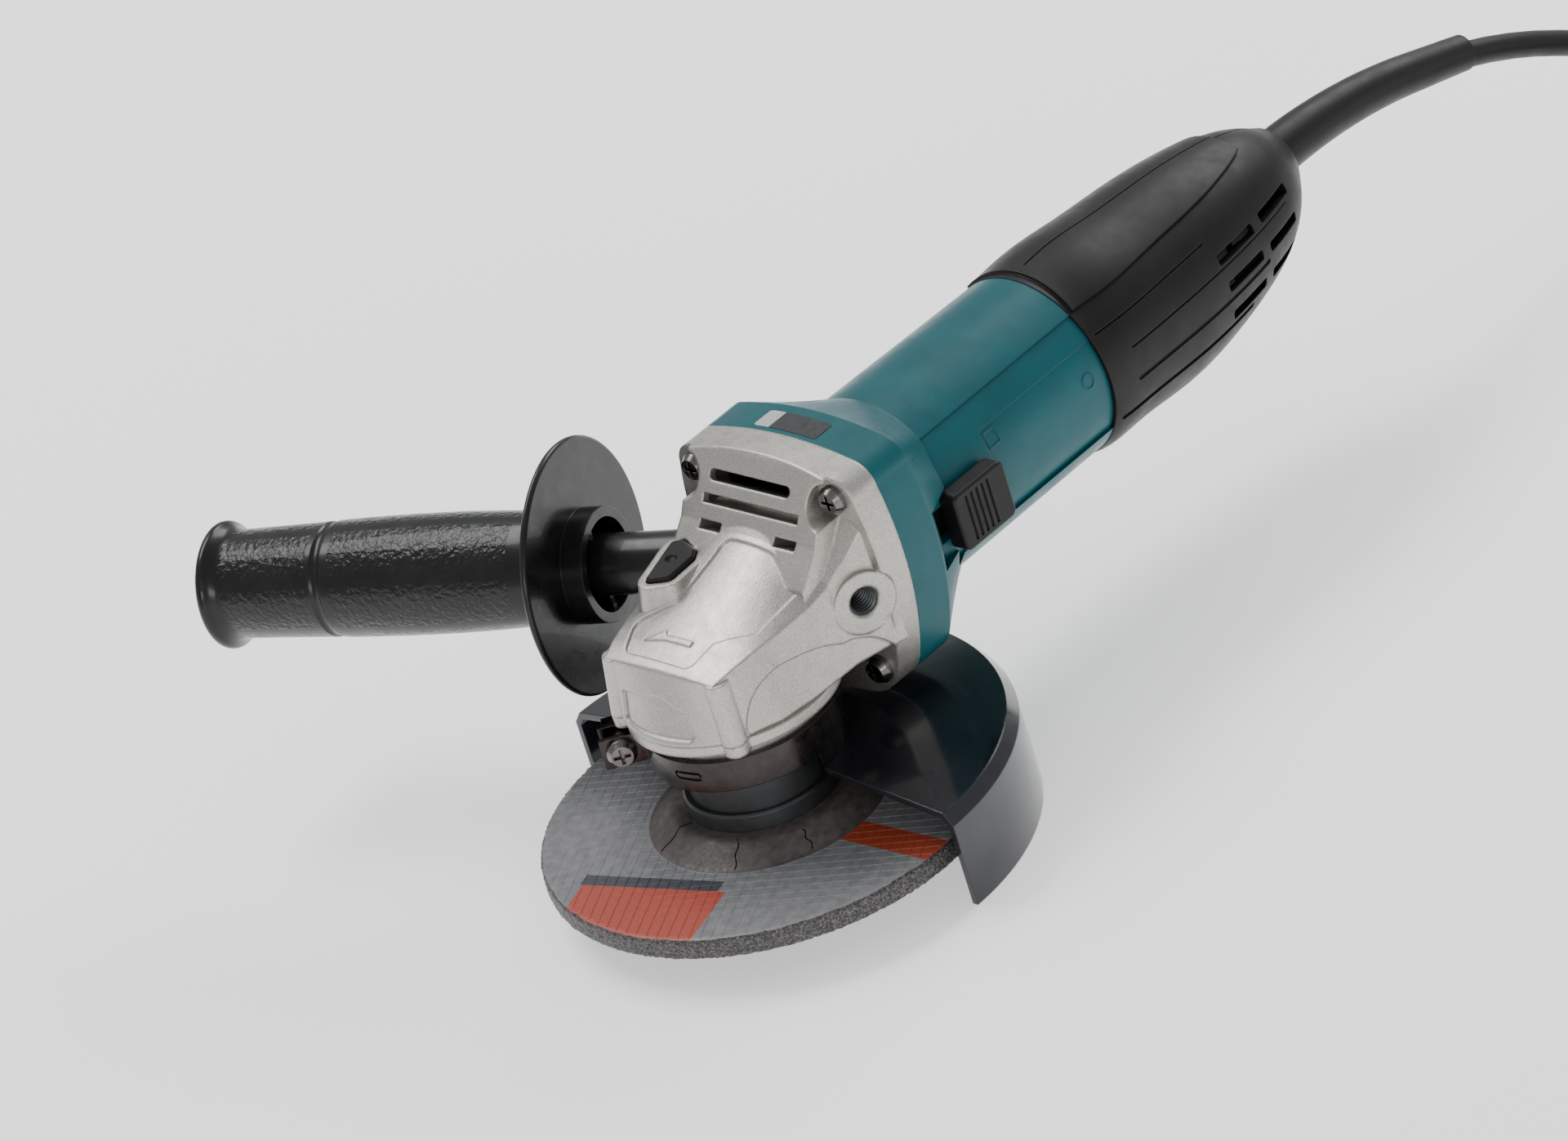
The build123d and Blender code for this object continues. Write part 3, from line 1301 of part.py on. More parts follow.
def make_rear_cover():
    outer = cover_form(0)
    inner = cover_form(housing_wall)
    with BuildPart() as core:
        add(inner.part)
        with Locations((cover_end, 0, cord_height)):
            Box(2 * cover_end_wall, 60, 60, mode=Mode.SUBTRACT)
    # raised saddle over the top, its long edges level with the side panels' edges
    with BuildPart() as saddle:
        add(cover_form(-saddle_step).part)
        with BuildSketch(Plane.XZ):
            Polygon(
                (saddle_start - 3, motor_axis + saddle_rise),
                (saddle_end, motor_axis + saddle_rise),
                (saddle_end, motor_axis + 60),
                (saddle_start + 6, motor_axis + 60),
                align=None,
            )
        extrude(amount=60, both=True, mode=Mode.INTERSECT)
    with BuildPart() as grooves:
        add(cover_form(-1).part)
        with BuildSketch(Plane.XZ):
            for start, end, rise, height in cover_grooves:
                with Locations(((start + end) / 2, motor_axis + rise)):
                    SlotOverall(end - start, height)
        extrude(amount=60, both=True, mode=Mode.INTERSECT)
        with Locations(((cover_joint + cover_end) / 2, 0, motor_axis + 40)):
            Box(cover_end - cover_joint - 12, 0.5, 80)
        add(cover_form(rib_depth).part, mode=Mode.SUBTRACT)
    with BuildPart() as cover:
        add(outer.part)
        add(saddle.part)
        add(grooves.part, mode=Mode.SUBTRACT)
        add(core.part, mode=Mode.SUBTRACT)
        exit_plane = Plane(origin=(cover_end - 12, 0, cord_height), x_dir=(0, 1, 0), z_dir=(1, 0, 0))
        rod(exit_plane, boot_start_radius + 0.02, 30, Mode.SUBTRACT)
        for x, length, rows in cover_vents:
            for row in rows:
                with BuildSketch(Plane.XZ):
                    with Locations((x, motor_axis + row)):
                        RectangleRounded(length, vent_height, 0.8)
                extrude(amount=40, both=True, mode=Mode.SUBTRACT)
        # boss that carries the screw's seat
        rod(cover_screw_plane(-1.5), cover_screw_head + 1.8, 2.3)
        rod(cover_screw_plane(-2), cover_screw_radius + 0.2, 14, Mode.SUBTRACT)
        rod(cover_screw_plane(-4), cover_screw_head + 0.2, 4, Mode.SUBTRACT)
    save(cover, "rear_cover")
    with BuildPart() as screw:
        plane = Plane(origin=cover_screw_plane(0).origin, x_dir=(1, 0, 0), z_dir=(0, 0, -1))
        pan_screw(plane, cover_screw_head, 1.8, cover_screw_radius, 8)
    save(screw, "rear_cover_screw")


def make_electrics():
    with BuildPart() as capacitor:
        with Locations((switch_unit_x + 16, 12, motor_axis - 1)):
            Box(24, 9, 17)
        fillet(capacitor.edges().filter_by(Axis.X), 1.2)
    save(capacitor, "noise_capacitor")
    with BuildPart() as clamp:
        with Locations((204, 0, cord_height - cord_radius - 2.1)):
            Box(8, 20, 4)
        with Locations((204, 0, cord_height + cord_radius + 1.6)):
            Box(8, 20, 3)
        with Locations((204, 0, cord_height - cord_radius - 5)):
            Box(8, 6, 6)
        for side in (1, -1):
            rod(Plane(origin=(204, side * 7, cord_height + cord_radius)), 1.52, 4, Mode.SUBTRACT)
    save(clamp, "cord_clamp")
    with BuildPart() as screws:
        for side in (1, -1):
            seat = (204, side * 7, cord_height + cord_radius + 3.1)
            plane = Plane(origin=seat, x_dir=(1, 0, 0), z_dir=(0, 0, 1))
            pan_screw(plane, 2.8, 2.0, 1.5, 2.9)
    save(screws, "cord_clamp_screws")


# ---------------------------------------------------------------- cord
def cord_route():
    """Corner points of the cord, from the clamp in the cover down to the coil."""
    lay = floor + cord_radius
    side = coil_centre[0] + coil_radius + 2 * cord_radius
    return [
        Vector(*point)
        for point in (
            (cord_start, 0, cord_height),
            (cord_bend, 0, cord_height),
            (cord_bend + 58, -2, 50.0),
            (cord_bend + 104, -8, 23.5),
            (cord_bend + 143, -18, 2.0),
            (cord_bend + 169, -33, lay),
            (side, -60, lay),
            (side, coil_centre[1], lay),
        )
    ]


def cord_path():
    """Wire along the cord route, rounded at every corner."""
    points = cord_route()
    radii = []
    for before, point, after in zip(points, points[1:], points[2:]):
        arrive = point - before
        leave = after - point
        half = radians(arrive.get_angle(leave)) / 2
        radii.append(0.45 * min(arrive.length, leave.length) / tan(half))
    with BuildLine() as path:
        FilletPolyline(*points, radius=radii)
    print("cord bend radii", [round(r, 1) for r in radii])
    return path.wire()


def cord_tube(radius):
    """Solid round bar of a radius along the whole cord route."""
    wire = cord_path()
    with BuildPart() as tube:
        with BuildSketch(Plane(origin=wire @ 0, z_dir=wire % 0)):
            Circle(radius)
        sweep(path=wire)
    return tube


def make_cord_guard():
    start = cover_end - 9
    with BuildPart() as boot:
        points = cord_route()
        arrive = points[1] - points[0]
        leave = points[2] - points[1]
        half = radians(arrive.get_angle(leave)) / 2
        reach = 0.45 * min(arrive.length, leave.length)
        end = points[1] + leave.normalized() * (reach + boot_tail)
        with BuildLine() as path:
            FilletPolyline(Vector(start, 0, cord_height), points[1], end, radius=reach / tan(half))
        wire = path.wire()
        with BuildSketch(Plane(origin=wire @ 0, z_dir=wire % 0)) as thick:
            Circle(boot_start_radius)
        with BuildSketch(Plane(origin=wire @ 1, z_dir=wire % 1)) as thin:
            Circle(boot_end_radius)
        sweep(sections=[thick.sketch, thin.sketch], path=wire, multisection=True)
        add(cord_tube(cord_radius + 0.02).part, mode=Mode.SUBTRACT)
    save(boot, "cord_guard")


def make_cord():
    save(cord_tube(cord_radius), "power_cord")
    print("cord run", cord_path().length)
    with BuildPart() as coil:
        half = coil_stack * cord_radius
        with BuildSketch(Plane.XZ):
            with Locations((coil_radius, floor + half)):
                Rectangle(2 * half, 2 * half)
        revolve(axis=Axis.Z)
        fillet(coil.edges(), 1.6)
    coil.part = Pos(*coil_centre, 0) * coil.part
    save(coil, "cord_coil")
    # the plug lies on the coil, in line with its last turn
    top = floor + 2 * half
    back = coil_centre[0] - plug_back
    line = coil_centre[1] + coil_radius
    with BuildPart() as plug:
        with BuildSketch(Plane.XY.offset(top)):
            with BuildLine():
                Polyline(
                    (back, line - 6.5),
                    (back + 10, line - 16),
                    (back + plug_length, line - 18),
                    (back + plug_length, line + 18),
                    (back + 10, line + 16),
                    (back, line + 6.5),
                    close=True,
                )
            make_face()
            fillet(vertices(), 4)
        extrude(amount=plug_height)
        fillet(plug.edges().group_by(Axis.Z)[-1], 3)
    save(plug, "plug_body")
    with BuildPart() as pins:
        for side in (1, -1):
            face = Plane(
                origin=(back + plug_length, line + side * plug_pin_gap / 2, top + plug_height / 2),
                x_dir=(0, 1, 0),
                z_dir=(1, 0, 0),
            )
            rod(face, plug_pin_radius, plug_pin_length)
    save(pins, "plug_pins")


def make_all():
    make_wheel()
    make_lock_nut()
    make_inner_flange()
    make_spindle()
    make_gear_clip()
    make_drive_gear()
    make_pinion()
    make_bearing_box()
    make_box_screws()
    make_bearings()
    make_gear_housing()
    make_housing_screws()
    make_shaft_lock()
    make_guard()
    make_guard_band()
    make_clamp_screw()
    make_handle()
    make_motor_housing()
    make_switch()
    make_armature()
    make_stator()
    make_brushes()
    make_rear_cover()
    make_electrics()
    make_cord_guard()
    make_cord()


if __name__ == "__main__":
    make_all()
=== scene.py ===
"""Looks of the angle grinder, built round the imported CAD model. Metres, in the CAD frame."""
import json
import math

import bpy
import bmesh
from mathutils import Matrix, Vector, noise


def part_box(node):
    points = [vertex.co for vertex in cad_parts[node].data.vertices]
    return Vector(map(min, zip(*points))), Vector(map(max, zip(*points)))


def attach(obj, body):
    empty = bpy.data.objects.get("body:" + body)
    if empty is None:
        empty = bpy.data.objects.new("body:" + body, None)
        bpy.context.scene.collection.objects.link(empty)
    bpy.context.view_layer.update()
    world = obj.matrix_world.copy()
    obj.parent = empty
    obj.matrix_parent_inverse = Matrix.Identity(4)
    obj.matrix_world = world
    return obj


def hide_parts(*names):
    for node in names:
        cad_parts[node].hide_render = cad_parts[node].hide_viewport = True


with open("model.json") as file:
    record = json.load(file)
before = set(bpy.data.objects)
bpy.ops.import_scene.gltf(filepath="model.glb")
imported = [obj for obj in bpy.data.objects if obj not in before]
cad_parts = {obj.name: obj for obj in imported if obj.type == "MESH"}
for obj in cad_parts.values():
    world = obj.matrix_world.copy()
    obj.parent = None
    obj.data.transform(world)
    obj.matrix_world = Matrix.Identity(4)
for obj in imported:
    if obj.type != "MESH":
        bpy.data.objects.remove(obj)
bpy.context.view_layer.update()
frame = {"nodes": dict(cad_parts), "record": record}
NODES = frame["nodes"]
MM = 0.001
# left handle boss: middle of its face, lean towards the nose and droop, in degrees
BOSS_POINT = (0.026, -0.030, 0.0585)
BOSS_LEAN = 21.3
BOSS_DROOP = 1.6
# top of the motor housing's flange on the middle plane
LABEL_SEAT = 0.0952


# ------------------------------------------------------------ camera, floor and lights
def add_camera():
    """Camera to the left of and above the nose, at the angle of the reference view."""
    right = Vector((0.6544, -0.7082, -0.2650))
    up = Vector((0.5316, 0.1817, 0.8273))
    back = Vector((-0.5377, -0.6823, 0.4953))
    data = bpy.data.cameras.new("camera")
    data.sensor_width = 36.0
    data.lens = 207.1
    data.clip_start = 0.1
    data.clip_end = 20.0
    camera = bpy.data.objects.new("camera", data)
    bpy.context.scene.collection.objects.link(camera)
    turn = Matrix((right, up, back)).transposed().to_4x4()
    camera.matrix_world = Matrix.Translation((-1.2292, -1.5948, 1.2182)) @ turn
    bpy.context.scene.camera = camera


def add_area_light(name, place, target, size, power, colour=(1, 1, 1)):
    """Soft rectangular light at place, aimed at target."""
    data = bpy.data.lights.new(name, "AREA")
    data.shape = "RECTANGLE"
    data.size, data.size_y = size
    data.energy = power
    data.color = colour
    light = bpy.data.objects.new(name, data)
    bpy.context.scene.collection.objects.link(light)
    light.location = place
    light.rotation_euler = (Vector(target) - Vector(place)).to_track_quat("-Z", "Y").to_euler()


def add_studio():
    """Pale floor, white surroundings and soft lights."""
    floor_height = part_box("guard_shell")[0][2]
    mesh = bpy.data.meshes.new("floor")
    half = 6.0
    mesh.from_pydata(
        [(-half, -half, 0), (half, -half, 0), (half, half, 0), (-half, half, 0)],
        [],
        [(0, 1, 2, 3)],
    )
    floor = bpy.data.objects.new("floor", mesh)
    bpy.context.scene.collection.objects.link(floor)
    floor.location.z = floor_height - 0.0002
    material = new_material("floor_white")
    shader = material.node_tree.nodes["Principled BSDF"]
    shader.inputs["Base Color"].default_value = (0.93, 0.93, 0.93, 1)
    shader.inputs["Roughness"].default_value = 0.7
    shader.inputs["Emission Color"].default_value = (1, 1, 1, 1)
    shader.inputs["Emission Strength"].default_value = 0.6
    floor.data.materials.append(material)
    world = bpy.data.worlds.new("studio")
    bpy.context.scene.world = world
    world.use_nodes = True
    world.node_tree.nodes["Background"].inputs[0].default_value = (0.96, 0.98, 1.0, 1)
    world.node_tree.nodes["Background"].inputs[1].default_value = 0.55
    middle = (0.08, 0.0, 0.05)
    add_area_light("key", (0.1, 0.9, 1.5), middle, (1.2, 0.6), 20)
    add_area_light("left_strip", (-1.0, -1.0, 0.5), middle, (0.9, 0.35), 6)
    add_area_light("back_strip", (1.3, 0.2, 0.9), middle, (0.9, 0.5), 10)


# ------------------------------------------------------------ materials
def new_material(name):
    material = bpy.data.materials.new(name)
    material.use_nodes = True
    return material


class Shader:
    """Small helper that wires procedural nodes into a Principled shader."""

    def __init__(self, name, edge=0.0):
        self.edge = edge
        self.material = new_material(name)
        self.tree = self.material.node_tree
        self.shader = self.tree.nodes["Principled BSDF"]
        self.place = self.tree.nodes.new("ShaderNodeTexCoord").outputs["Object"]

    def node(self, kind, **values):
        made = self.tree.nodes.new(kind)
        for key, value in values.items():
            setattr(made, key, value)
        return made

    def link(self, out, into):
        self.tree.links.new(out, into)

    def set(self, **values):
        for key, value in values.items():
            self.shader.inputs[key.replace("_", " ")].default_value = value

    def math(self, operation, a, b=None):
        made = self.node("ShaderNodeMath", operation=operation)
        for socket, value in zip(made.inputs, (a, b)):
            if value is None:
                continue
            if isinstance(value, (int, float)):
                socket.default_value = value
            else:
                self.link(value, socket)
        return made.outputs[0]

    def noise(self, size, detail=3.0, rough=0.55, place=None):
        """Noise whose features are about size metres across."""
        made = self.node("ShaderNodeTexNoise")
        made.inputs["Scale"].default_value = 1.0 / size
        made.inputs["Detail"].default_value = detail
        made.inputs["Roughness"].default_value = rough
        self.link(place or self.place, made.inputs["Vector"])
        return made.outputs["Fac"]

    def cells(self, size, feature="F1"):
        """Cell pattern whose cells are about size metres across."""
        made = self.node("ShaderNodeTexVoronoi", feature=feature)
        made.inputs["Scale"].default_value = 1.0 / size
        self.link(self.place, made.inputs["Vector"])
        return made.outputs["Distance"]

    def ramp(self, fac, stops):
        """Colour ramp; stops is a list of (position, colour)."""
        made = self.node("ShaderNodeValToRGB")
        ramp = made.color_ramp
        while len(ramp.elements) < len(stops):
            ramp.elements.new(1.0)
        for element, (position, colour) in zip(ramp.elements, stops):
            element.position = position
            element.color = (*colour, 1)
        self.link(fac, made.inputs["Fac"])
        return made.outputs["Color"]

    def scale(self, fac, low, high, start=0.3, stop=0.7):
        """Maps fac from start..stop to low..high."""
        made = self.node("ShaderNodeMapRange")
        made.inputs["From Min"].default_value = start
        made.inputs["From Max"].default_value = stop
        made.inputs["To Min"].default_value = low
        made.inputs["To Max"].default_value = high
        self.link(fac, made.inputs["Value"])
        return made.outputs["Result"]

    def colour(self, out):
        self.link(out, self.shader.inputs["Base Color"])

    def rough(self, out):
        self.link(out, self.shader.inputs["Roughness"])

    def bump(self, height, depth, strength=1.0):
        """Bump of about depth metres from a 0..1 height."""
        made = self.node("ShaderNodeBump")
        made.inputs["Distance"].default_value = depth
        made.inputs["Strength"].default_value = strength
        self.link(height, made.inputs["Height"])
        earlier = self.shader.inputs["Normal"].links
        if earlier:
            self.link(earlier[0].from_socket, made.inputs["Normal"])
        elif self.edge:
            soft = self.node("ShaderNodeBevel", samples=6)
            soft.inputs["Radius"].default_value = self.edge
            self.link(soft.outputs["Normal"], made.inputs["Normal"])
        self.link(made.outputs["Normal"], self.shader.inputs["Normal"])


def shade(colour, factor):
    return tuple(min(1.0, c * factor) for c in colour)


def moulded_plastic(name, colour, rough, grain=0.35 * MM, depth=0.02 * MM, gloss=0.5):
    """Moulded plastic: fine spark-eroded grain and slightly uneven gloss."""
    s = Shader(name, 0.45 * MM)
    patchy = s.noise(14 * MM, 4.0)
    s.colour(s.ramp(patchy, [(0.3, shade(colour, 0.9)), (0.7, shade(colour, 1.1))]))
    s.rough(s.scale(s.noise(6 * MM, 5.0), rough - 0.05, rough + 0.07))
    s.bump(s.noise(grain, 2.0), depth)
    s.set(Specular_IOR_Level=gloss)
    return s.material


def metal(name, colour, rough, grain, depth, metallic=1.0):
    """Machined or plated metal: fine grain, uneven gloss."""
    s = Shader(name, 0.25 * MM)
    s.set(Metallic=metallic)
    s.colour(s.ramp(s.noise(9 * MM, 5.0), [(0.3, shade(colour, 0.86)), (0.7, shade(colour, 1.1))]))
    s.rough(s.scale(s.noise(3 * MM, 6.0), rough - 0.06, rough + 0.1))
    s.bump(s.noise(grain, 3.0), depth)
    return s.material


def cast_alloy():
    """Champagne-silver paint on a cast gear case: metal fleck and two sizes of unevenness."""
    s = Shader("cast_alloy", 1.1 * MM)
    s.set(Metallic=0.85)
    fleck = s.noise(0.3 * MM, 2.0)
    tone = s.ramp(fleck, [
        (0.3, (0.33, 0.315, 0.285)),
        (0.5, (0.455, 0.44, 0.40)),
        (0.72, (0.62, 0.60, 0.555)),
    ])
    s.colour(tone)
    s.rough(s.scale(s.noise(4 * MM, 4.0), 0.34, 0.46))
    s.bump(s.noise(0.5 * MM, 3.0), 0.05 * MM)
    s.bump(s.noise(2.2 * MM, 2.0), 0.05 * MM)
    return s.material


def pebbled_grip():
    """Glossy black moulding with a leather-like pebble on the grip's panels."""
    s = Shader("grip_plastic", 0.4 * MM)
    s.set(Coat_Weight=0.12, Specular_IOR_Level=0.3)
    s.colour(s.ramp(s.noise(8 * MM), [(0.3, (0.004, 0.004, 0.0045)), (0.7, (0.009, 0.0085, 0.009))]))
    s.rough(s.scale(s.noise(5 * MM, 5.0), 0.24, 0.36))
    split = s.node("ShaderNodeSeparateXYZ")
    s.link(s.place, split.inputs[0])
    x, y, z = split.outputs
    lean, droop = math.radians(BOSS_LEAN), math.radians(BOSS_DROOP)
    direction = (-math.sin(lean) * math.cos(droop), math.cos(lean) * math.cos(droop), -math.sin(droop))

    # the handle sits on the right boss, the mirror image of the left one
    right_boss = (BOSS_POINT[0], -BOSS_POINT[1], BOSS_POINT[2])

    def along(vector):
        """Length of the place along a unit vector, measured from the handle's boss."""
        terms = []
        for socket, part, origin in zip((x, y, z), vector, right_boss):
            terms.append(s.math("MULTIPLY", s.math("SUBTRACT", socket, origin), part))
        return s.math("ADD", s.math("ADD", terms[0], terms[1]), terms[2])

    reach = along(direction)
    sideways = Vector((math.cos(lean), math.sin(lean), 0))
    across = along(sideways)
    upward = along(Vector(direction).cross(sideways))
    turn = s.math("ARCTAN2", upward, across)
    # six panels round the grip, in two lengths with a smooth band between
    gaps = s.math("COSINE", s.math("MULTIPLY", turn, 6.0))
    panel = s.math("GREATER_THAN", gaps, -0.8)

    def stretch(low, high):
        """1 between two distances along the handle, 0 elsewhere."""
        past = s.math("GREATER_THAN", reach, low)
        return s.math("MULTIPLY", past, s.math("LESS_THAN", reach, high))

    first = stretch(0.050, 0.104)
    second = stretch(0.111, 0.138)
    here = s.math("MULTIPLY", panel, s.math("ADD", first, second))
    s.bump(s.math("MULTIPLY", s.noise(1.5 * MM, 1.5), here), 0.5 * MM)
    s.bump(s.noise(0.4 * MM, 2.0), 0.012 * MM)
    return s.material


def guard_paint():
    """Dark glossy coating on pressed steel, slightly wavy."""
    s = Shader("guard_steel", 0.6 * MM)
    s.set(Metallic=0.35, Coat_Weight=0.5, Coat_Roughness=0.08)
    s.colour(s.ramp(s.noise(20 * MM, 4.0), [(0.3, (0.006, 0.006, 0.009)), (0.7, (0.018, 0.018, 0.025))]))
    s.rough(s.scale(s.noise(7 * MM, 6.0), 0.12, 0.26))
    s.bump(s.noise(16 * MM, 1.0), 0.12 * MM)
    return s.material


def abrasive_wheel():
    """Resin-bonded wheel: printed paper face, darker hub and coarse grain everywhere else."""
    s = Shader("abrasive")
    split = s.node("ShaderNodeSeparateXYZ")
    s.link(s.place, split.inputs[0])
    x, y, z = split.outputs
    radius = s.math("SQRT", s.math("ADD", s.math("MULTIPLY", x, x), s.math("MULTIPLY", y, y)))
    grain = s.noise(1.0 * MM, 4.0, 0.7)
    paper = s.ramp(s.noise(3 * MM, 5.0), [(0.3, (0.145, 0.145, 0.152)), (0.7, (0.225, 0.225, 0.232))])
    grit = s.ramp(
        s.noise(0.7 * MM, 4.0, 0.75),
        [(0.38, (0.010, 0.009, 0.009)), (0.5, (0.045, 0.040, 0.040)), (0.64, (0.17, 0.155, 0.15))],
    )
    hub = s.ramp(s.noise(2.5 * MM, 6.0), [(0.3, (0.048, 0.040, 0.038)), (0.7, (0.098, 0.084, 0.080))])
    edge = s.math("MULTIPLY", s.math("SUBTRACT", s.noise(4 * MM, 4.0), 0.5), 1.6 * MM)
    on_top = s.math("GREATER_THAN", z, 5.8 * MM)
    in_face = s.math("LESS_THAN", s.math("ADD", radius, edge), 61.7 * MM)
    paper_here = s.math("MULTIPLY", on_top, in_face)

    def along(across, up):
        return s.math("ADD", s.math("MULTIPLY", x, across), s.math("MULTIPLY", y, up))

    def between(value, low, high):
        past = s.math("GREATER_THAN", value, low * MM)
        return s.math("MULTIPLY", past, s.math("LESS_THAN", value, high * MM))

    def print_on(below, mask, colour):
        """Lays a printed patch over a colour, thinner where the paper is worn."""
        wear = s.scale(s.noise(1.2 * MM, 5.0, 0.7), 0.78, 1.0, 0.32, 0.5)
        mixed = s.node("ShaderNodeMix", data_type="RGBA")
        s.link(s.math("MULTIPLY", mask, wear), mixed.inputs[0])
        s.link(below, mixed.inputs[6])
        mixed.inputs[7].default_value = (*colour, 1)
        return mixed.outputs[2]

    outward = along(-0.96, -0.281)
    sideways = along(0.281, -0.96)
    block = s.math("MULTIPLY", s.math("GREATER_THAN", outward, 40.3 * MM), between(sideways, -36, 7))
    stripe = s.math("MULTIPLY", between(outward, 36.0, 40.3), between(sideways, -37, 4.5))
    bar = s.math("MULTIPLY", between(along(1.0, 0.045), -8.2, 0.6), s.math("LESS_THAN", y, -31.0 * MM))
    face = print_on(paper, block, (0.40, 0.052, 0.026))
    face = print_on(face, stripe, (0.035, 0.038, 0.05))
    face = print_on(face, bar, (0.33, 0.045, 0.015))

    def choose(mask, below, above):
        mixed = s.node("ShaderNodeMix", data_type="RGBA")
        s.link(mask, mixed.inputs[0])
        s.link(below, mixed.inputs[6])
        s.link(above, mixed.inputs[7])
        return mixed.outputs[2]

    hub_here = s.math("MULTIPLY", paper_here, s.math("LESS_THAN", radius, 32.6 * MM))
    s.colour(choose(hub_here, choose(paper_here, grit, face), hub))
    s.rough(s.scale(grain, 0.36, 0.62))
    bare = s.math("SUBTRACT", 1.0, paper_here)
    s.bump(s.math("MULTIPLY", s.noise(0.8 * MM, 3.0), bare), 0.5 * MM, 1.0)
    s.bump(s.noise(0.7 * MM, 3.0), 0.03 * MM)
    return s.material


def winding_copper():
    """Lacquered copper wire, wound round the core."""
    s = Shader("copper")
    s.set(Metallic=0.9, Coat_Weight=0.3)
    s.colour(s.ramp(s.noise(2 * MM), [(0.3, (0.42, 0.17, 0.07)), (0.7, (0.62, 0.28, 0.13))]))
    s.rough(s.scale(s.noise(1 * MM), 0.25, 0.4))
    s.bump(s.cells(0.8 * MM), 0.15 * MM)
    return s.material


def make_materials():
    return {
        "cast_alloy": cast_alloy(),
        "teal_plastic": moulded_plastic("teal_plastic", (0.002, 0.086, 0.102), 0.36, gloss=0.3),
        "black_plastic": moulded_plastic("black_plastic", (0.0085, 0.0065, 0.0068), 0.44, gloss=0.26),
        "grip_plastic": pebbled_grip(),
        "guard_steel": guard_paint(),
        "band_steel": metal("band_steel", (0.052, 0.045, 0.043), 0.2, 0.8 * MM, 0.01 * MM),
        "bright_steel": metal("bright_steel", (0.55, 0.55, 0.56), 0.25, 0.5 * MM, 0.01 * MM),
        "dark_steel": metal("dark_steel", (0.075, 0.08, 0.082), 0.42, 0.5 * MM, 0.02 * MM, 0.85),
        "screw_steel": metal("screw_steel", (0.17, 0.16, 0.155), 0.24, 0.5 * MM, 0.015 * MM),
        "abrasive": abrasive_wheel(),
        "glass_thread": moulded_plastic("glass_thread", (0.42, 0.33, 0.26), 0.5),
        "lamination": metal("lamination", (0.3, 0.3, 0.31), 0.4, 0.5 * MM, 0.03 * MM),
        "copper": winding_copper(),
        "brass": metal("brass", (0.62, 0.44, 0.18), 0.3, 0.6 * MM, 0.01 * MM),
        "carbon": moulded_plastic("carbon", (0.03, 0.03, 0.033), 0.55),
        "fan_plastic": moulded_plastic("fan_plastic", (0.045, 0.045, 0.045), 0.5),
        "cord_rubber": moulded_plastic("cord_rubber", (0.010, 0.010, 0.0105), 0.46, 0.5 * MM, gloss=0.3),
        "nickel": metal("nickel", (0.66, 0.65, 0.62), 0.2, 0.5 * MM, 0.008 * MM),
    }


def dress_nodes(materials):
    """Gives every CAD node the finish of its material slot."""
    slots = {entry["node"]: entry["material_slot"] for entry in frame["record"]["subparts"]}
    for name, obj in NODES.items():
        obj.data.materials.clear()
        obj.data.materials.append(materials[slots[name]])


def link_piece(name, mesh, material, body):
    """Makes an object from a mesh, gives it its finish and hangs it on a body."""
    piece = bpy.data.objects.new(name, mesh)
    bpy.context.scene.collection.objects.link(piece)
    piece.data.materials.append(material)
    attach(piece, body)
    return piece


# ------------------------------------------------------------ cord
FLOOR = -10.0 * MM
CORD_RADIUS = 3.75 * MM
CORD_HEIGHT = 65.2 * MM
COIL_CENTRE = (398.0 * MM, -92.0 * MM)
COIL_RADIUS = 43.0 * MM
CORD_BEND = 0.262
LAY = FLOOR + CORD_RADIUS
# the stretch outside the coil, the same points as the CAD route
ROUTE = [
    (0.203, 0.0, CORD_HEIGHT),
    (CORD_BEND, 0.0, CORD_HEIGHT),
    (CORD_BEND + 0.058, -0.002, 0.050),
    (CORD_BEND + 0.104, -0.008, 0.0235),
    (CORD_BEND + 0.143, -0.018, 0.002),
    (CORD_BEND + 0.169, -0.033, LAY),
    (COIL_CENTRE[0] + COIL_RADIUS + 2 * CORD_RADIUS, -0.060, LAY),
]
# radius (in steps of a diameter from the middle) and layer of each turn of the coil
TURNS = [(1, 0), (0, 0), (-1, 0), (-1, 1), (0, 1), (1, 1), (1, 2), (0, 2)]


def coil_points():
    """Points of the wound length, one turn after another, clockwise from above."""
    per_turn = 16
    points = []
    last = len(TURNS) * per_turn - per_turn // 2 - 1
    for k in range(last):
        turn, step = divmod(k, per_turn)
        share = step / per_turn
        shift = max(0.0, share - 0.75) * 4
        ring, layer = TURNS[turn]
        after = TURNS[min(turn + 1, len(TURNS) - 1)]
        radius = COIL_RADIUS + (ring + (after[0] - ring) * shift) * 2 * CORD_RADIUS
        height = FLOOR + CORD_RADIUS + (layer + (after[1] - layer) * shift) * 2 * CORD_RADIUS
        # a NURBS circle runs inside its points, so they stand a little further out
        radius /= math.cos(math.pi / per_turn) ** 1.3
        angle = -2 * math.pi * share
        points.append((
            COIL_CENTRE[0] + radius * math.cos(angle),
            COIL_CENTRE[1] + radius * math.sin(angle),
            height,
        ))
    return points


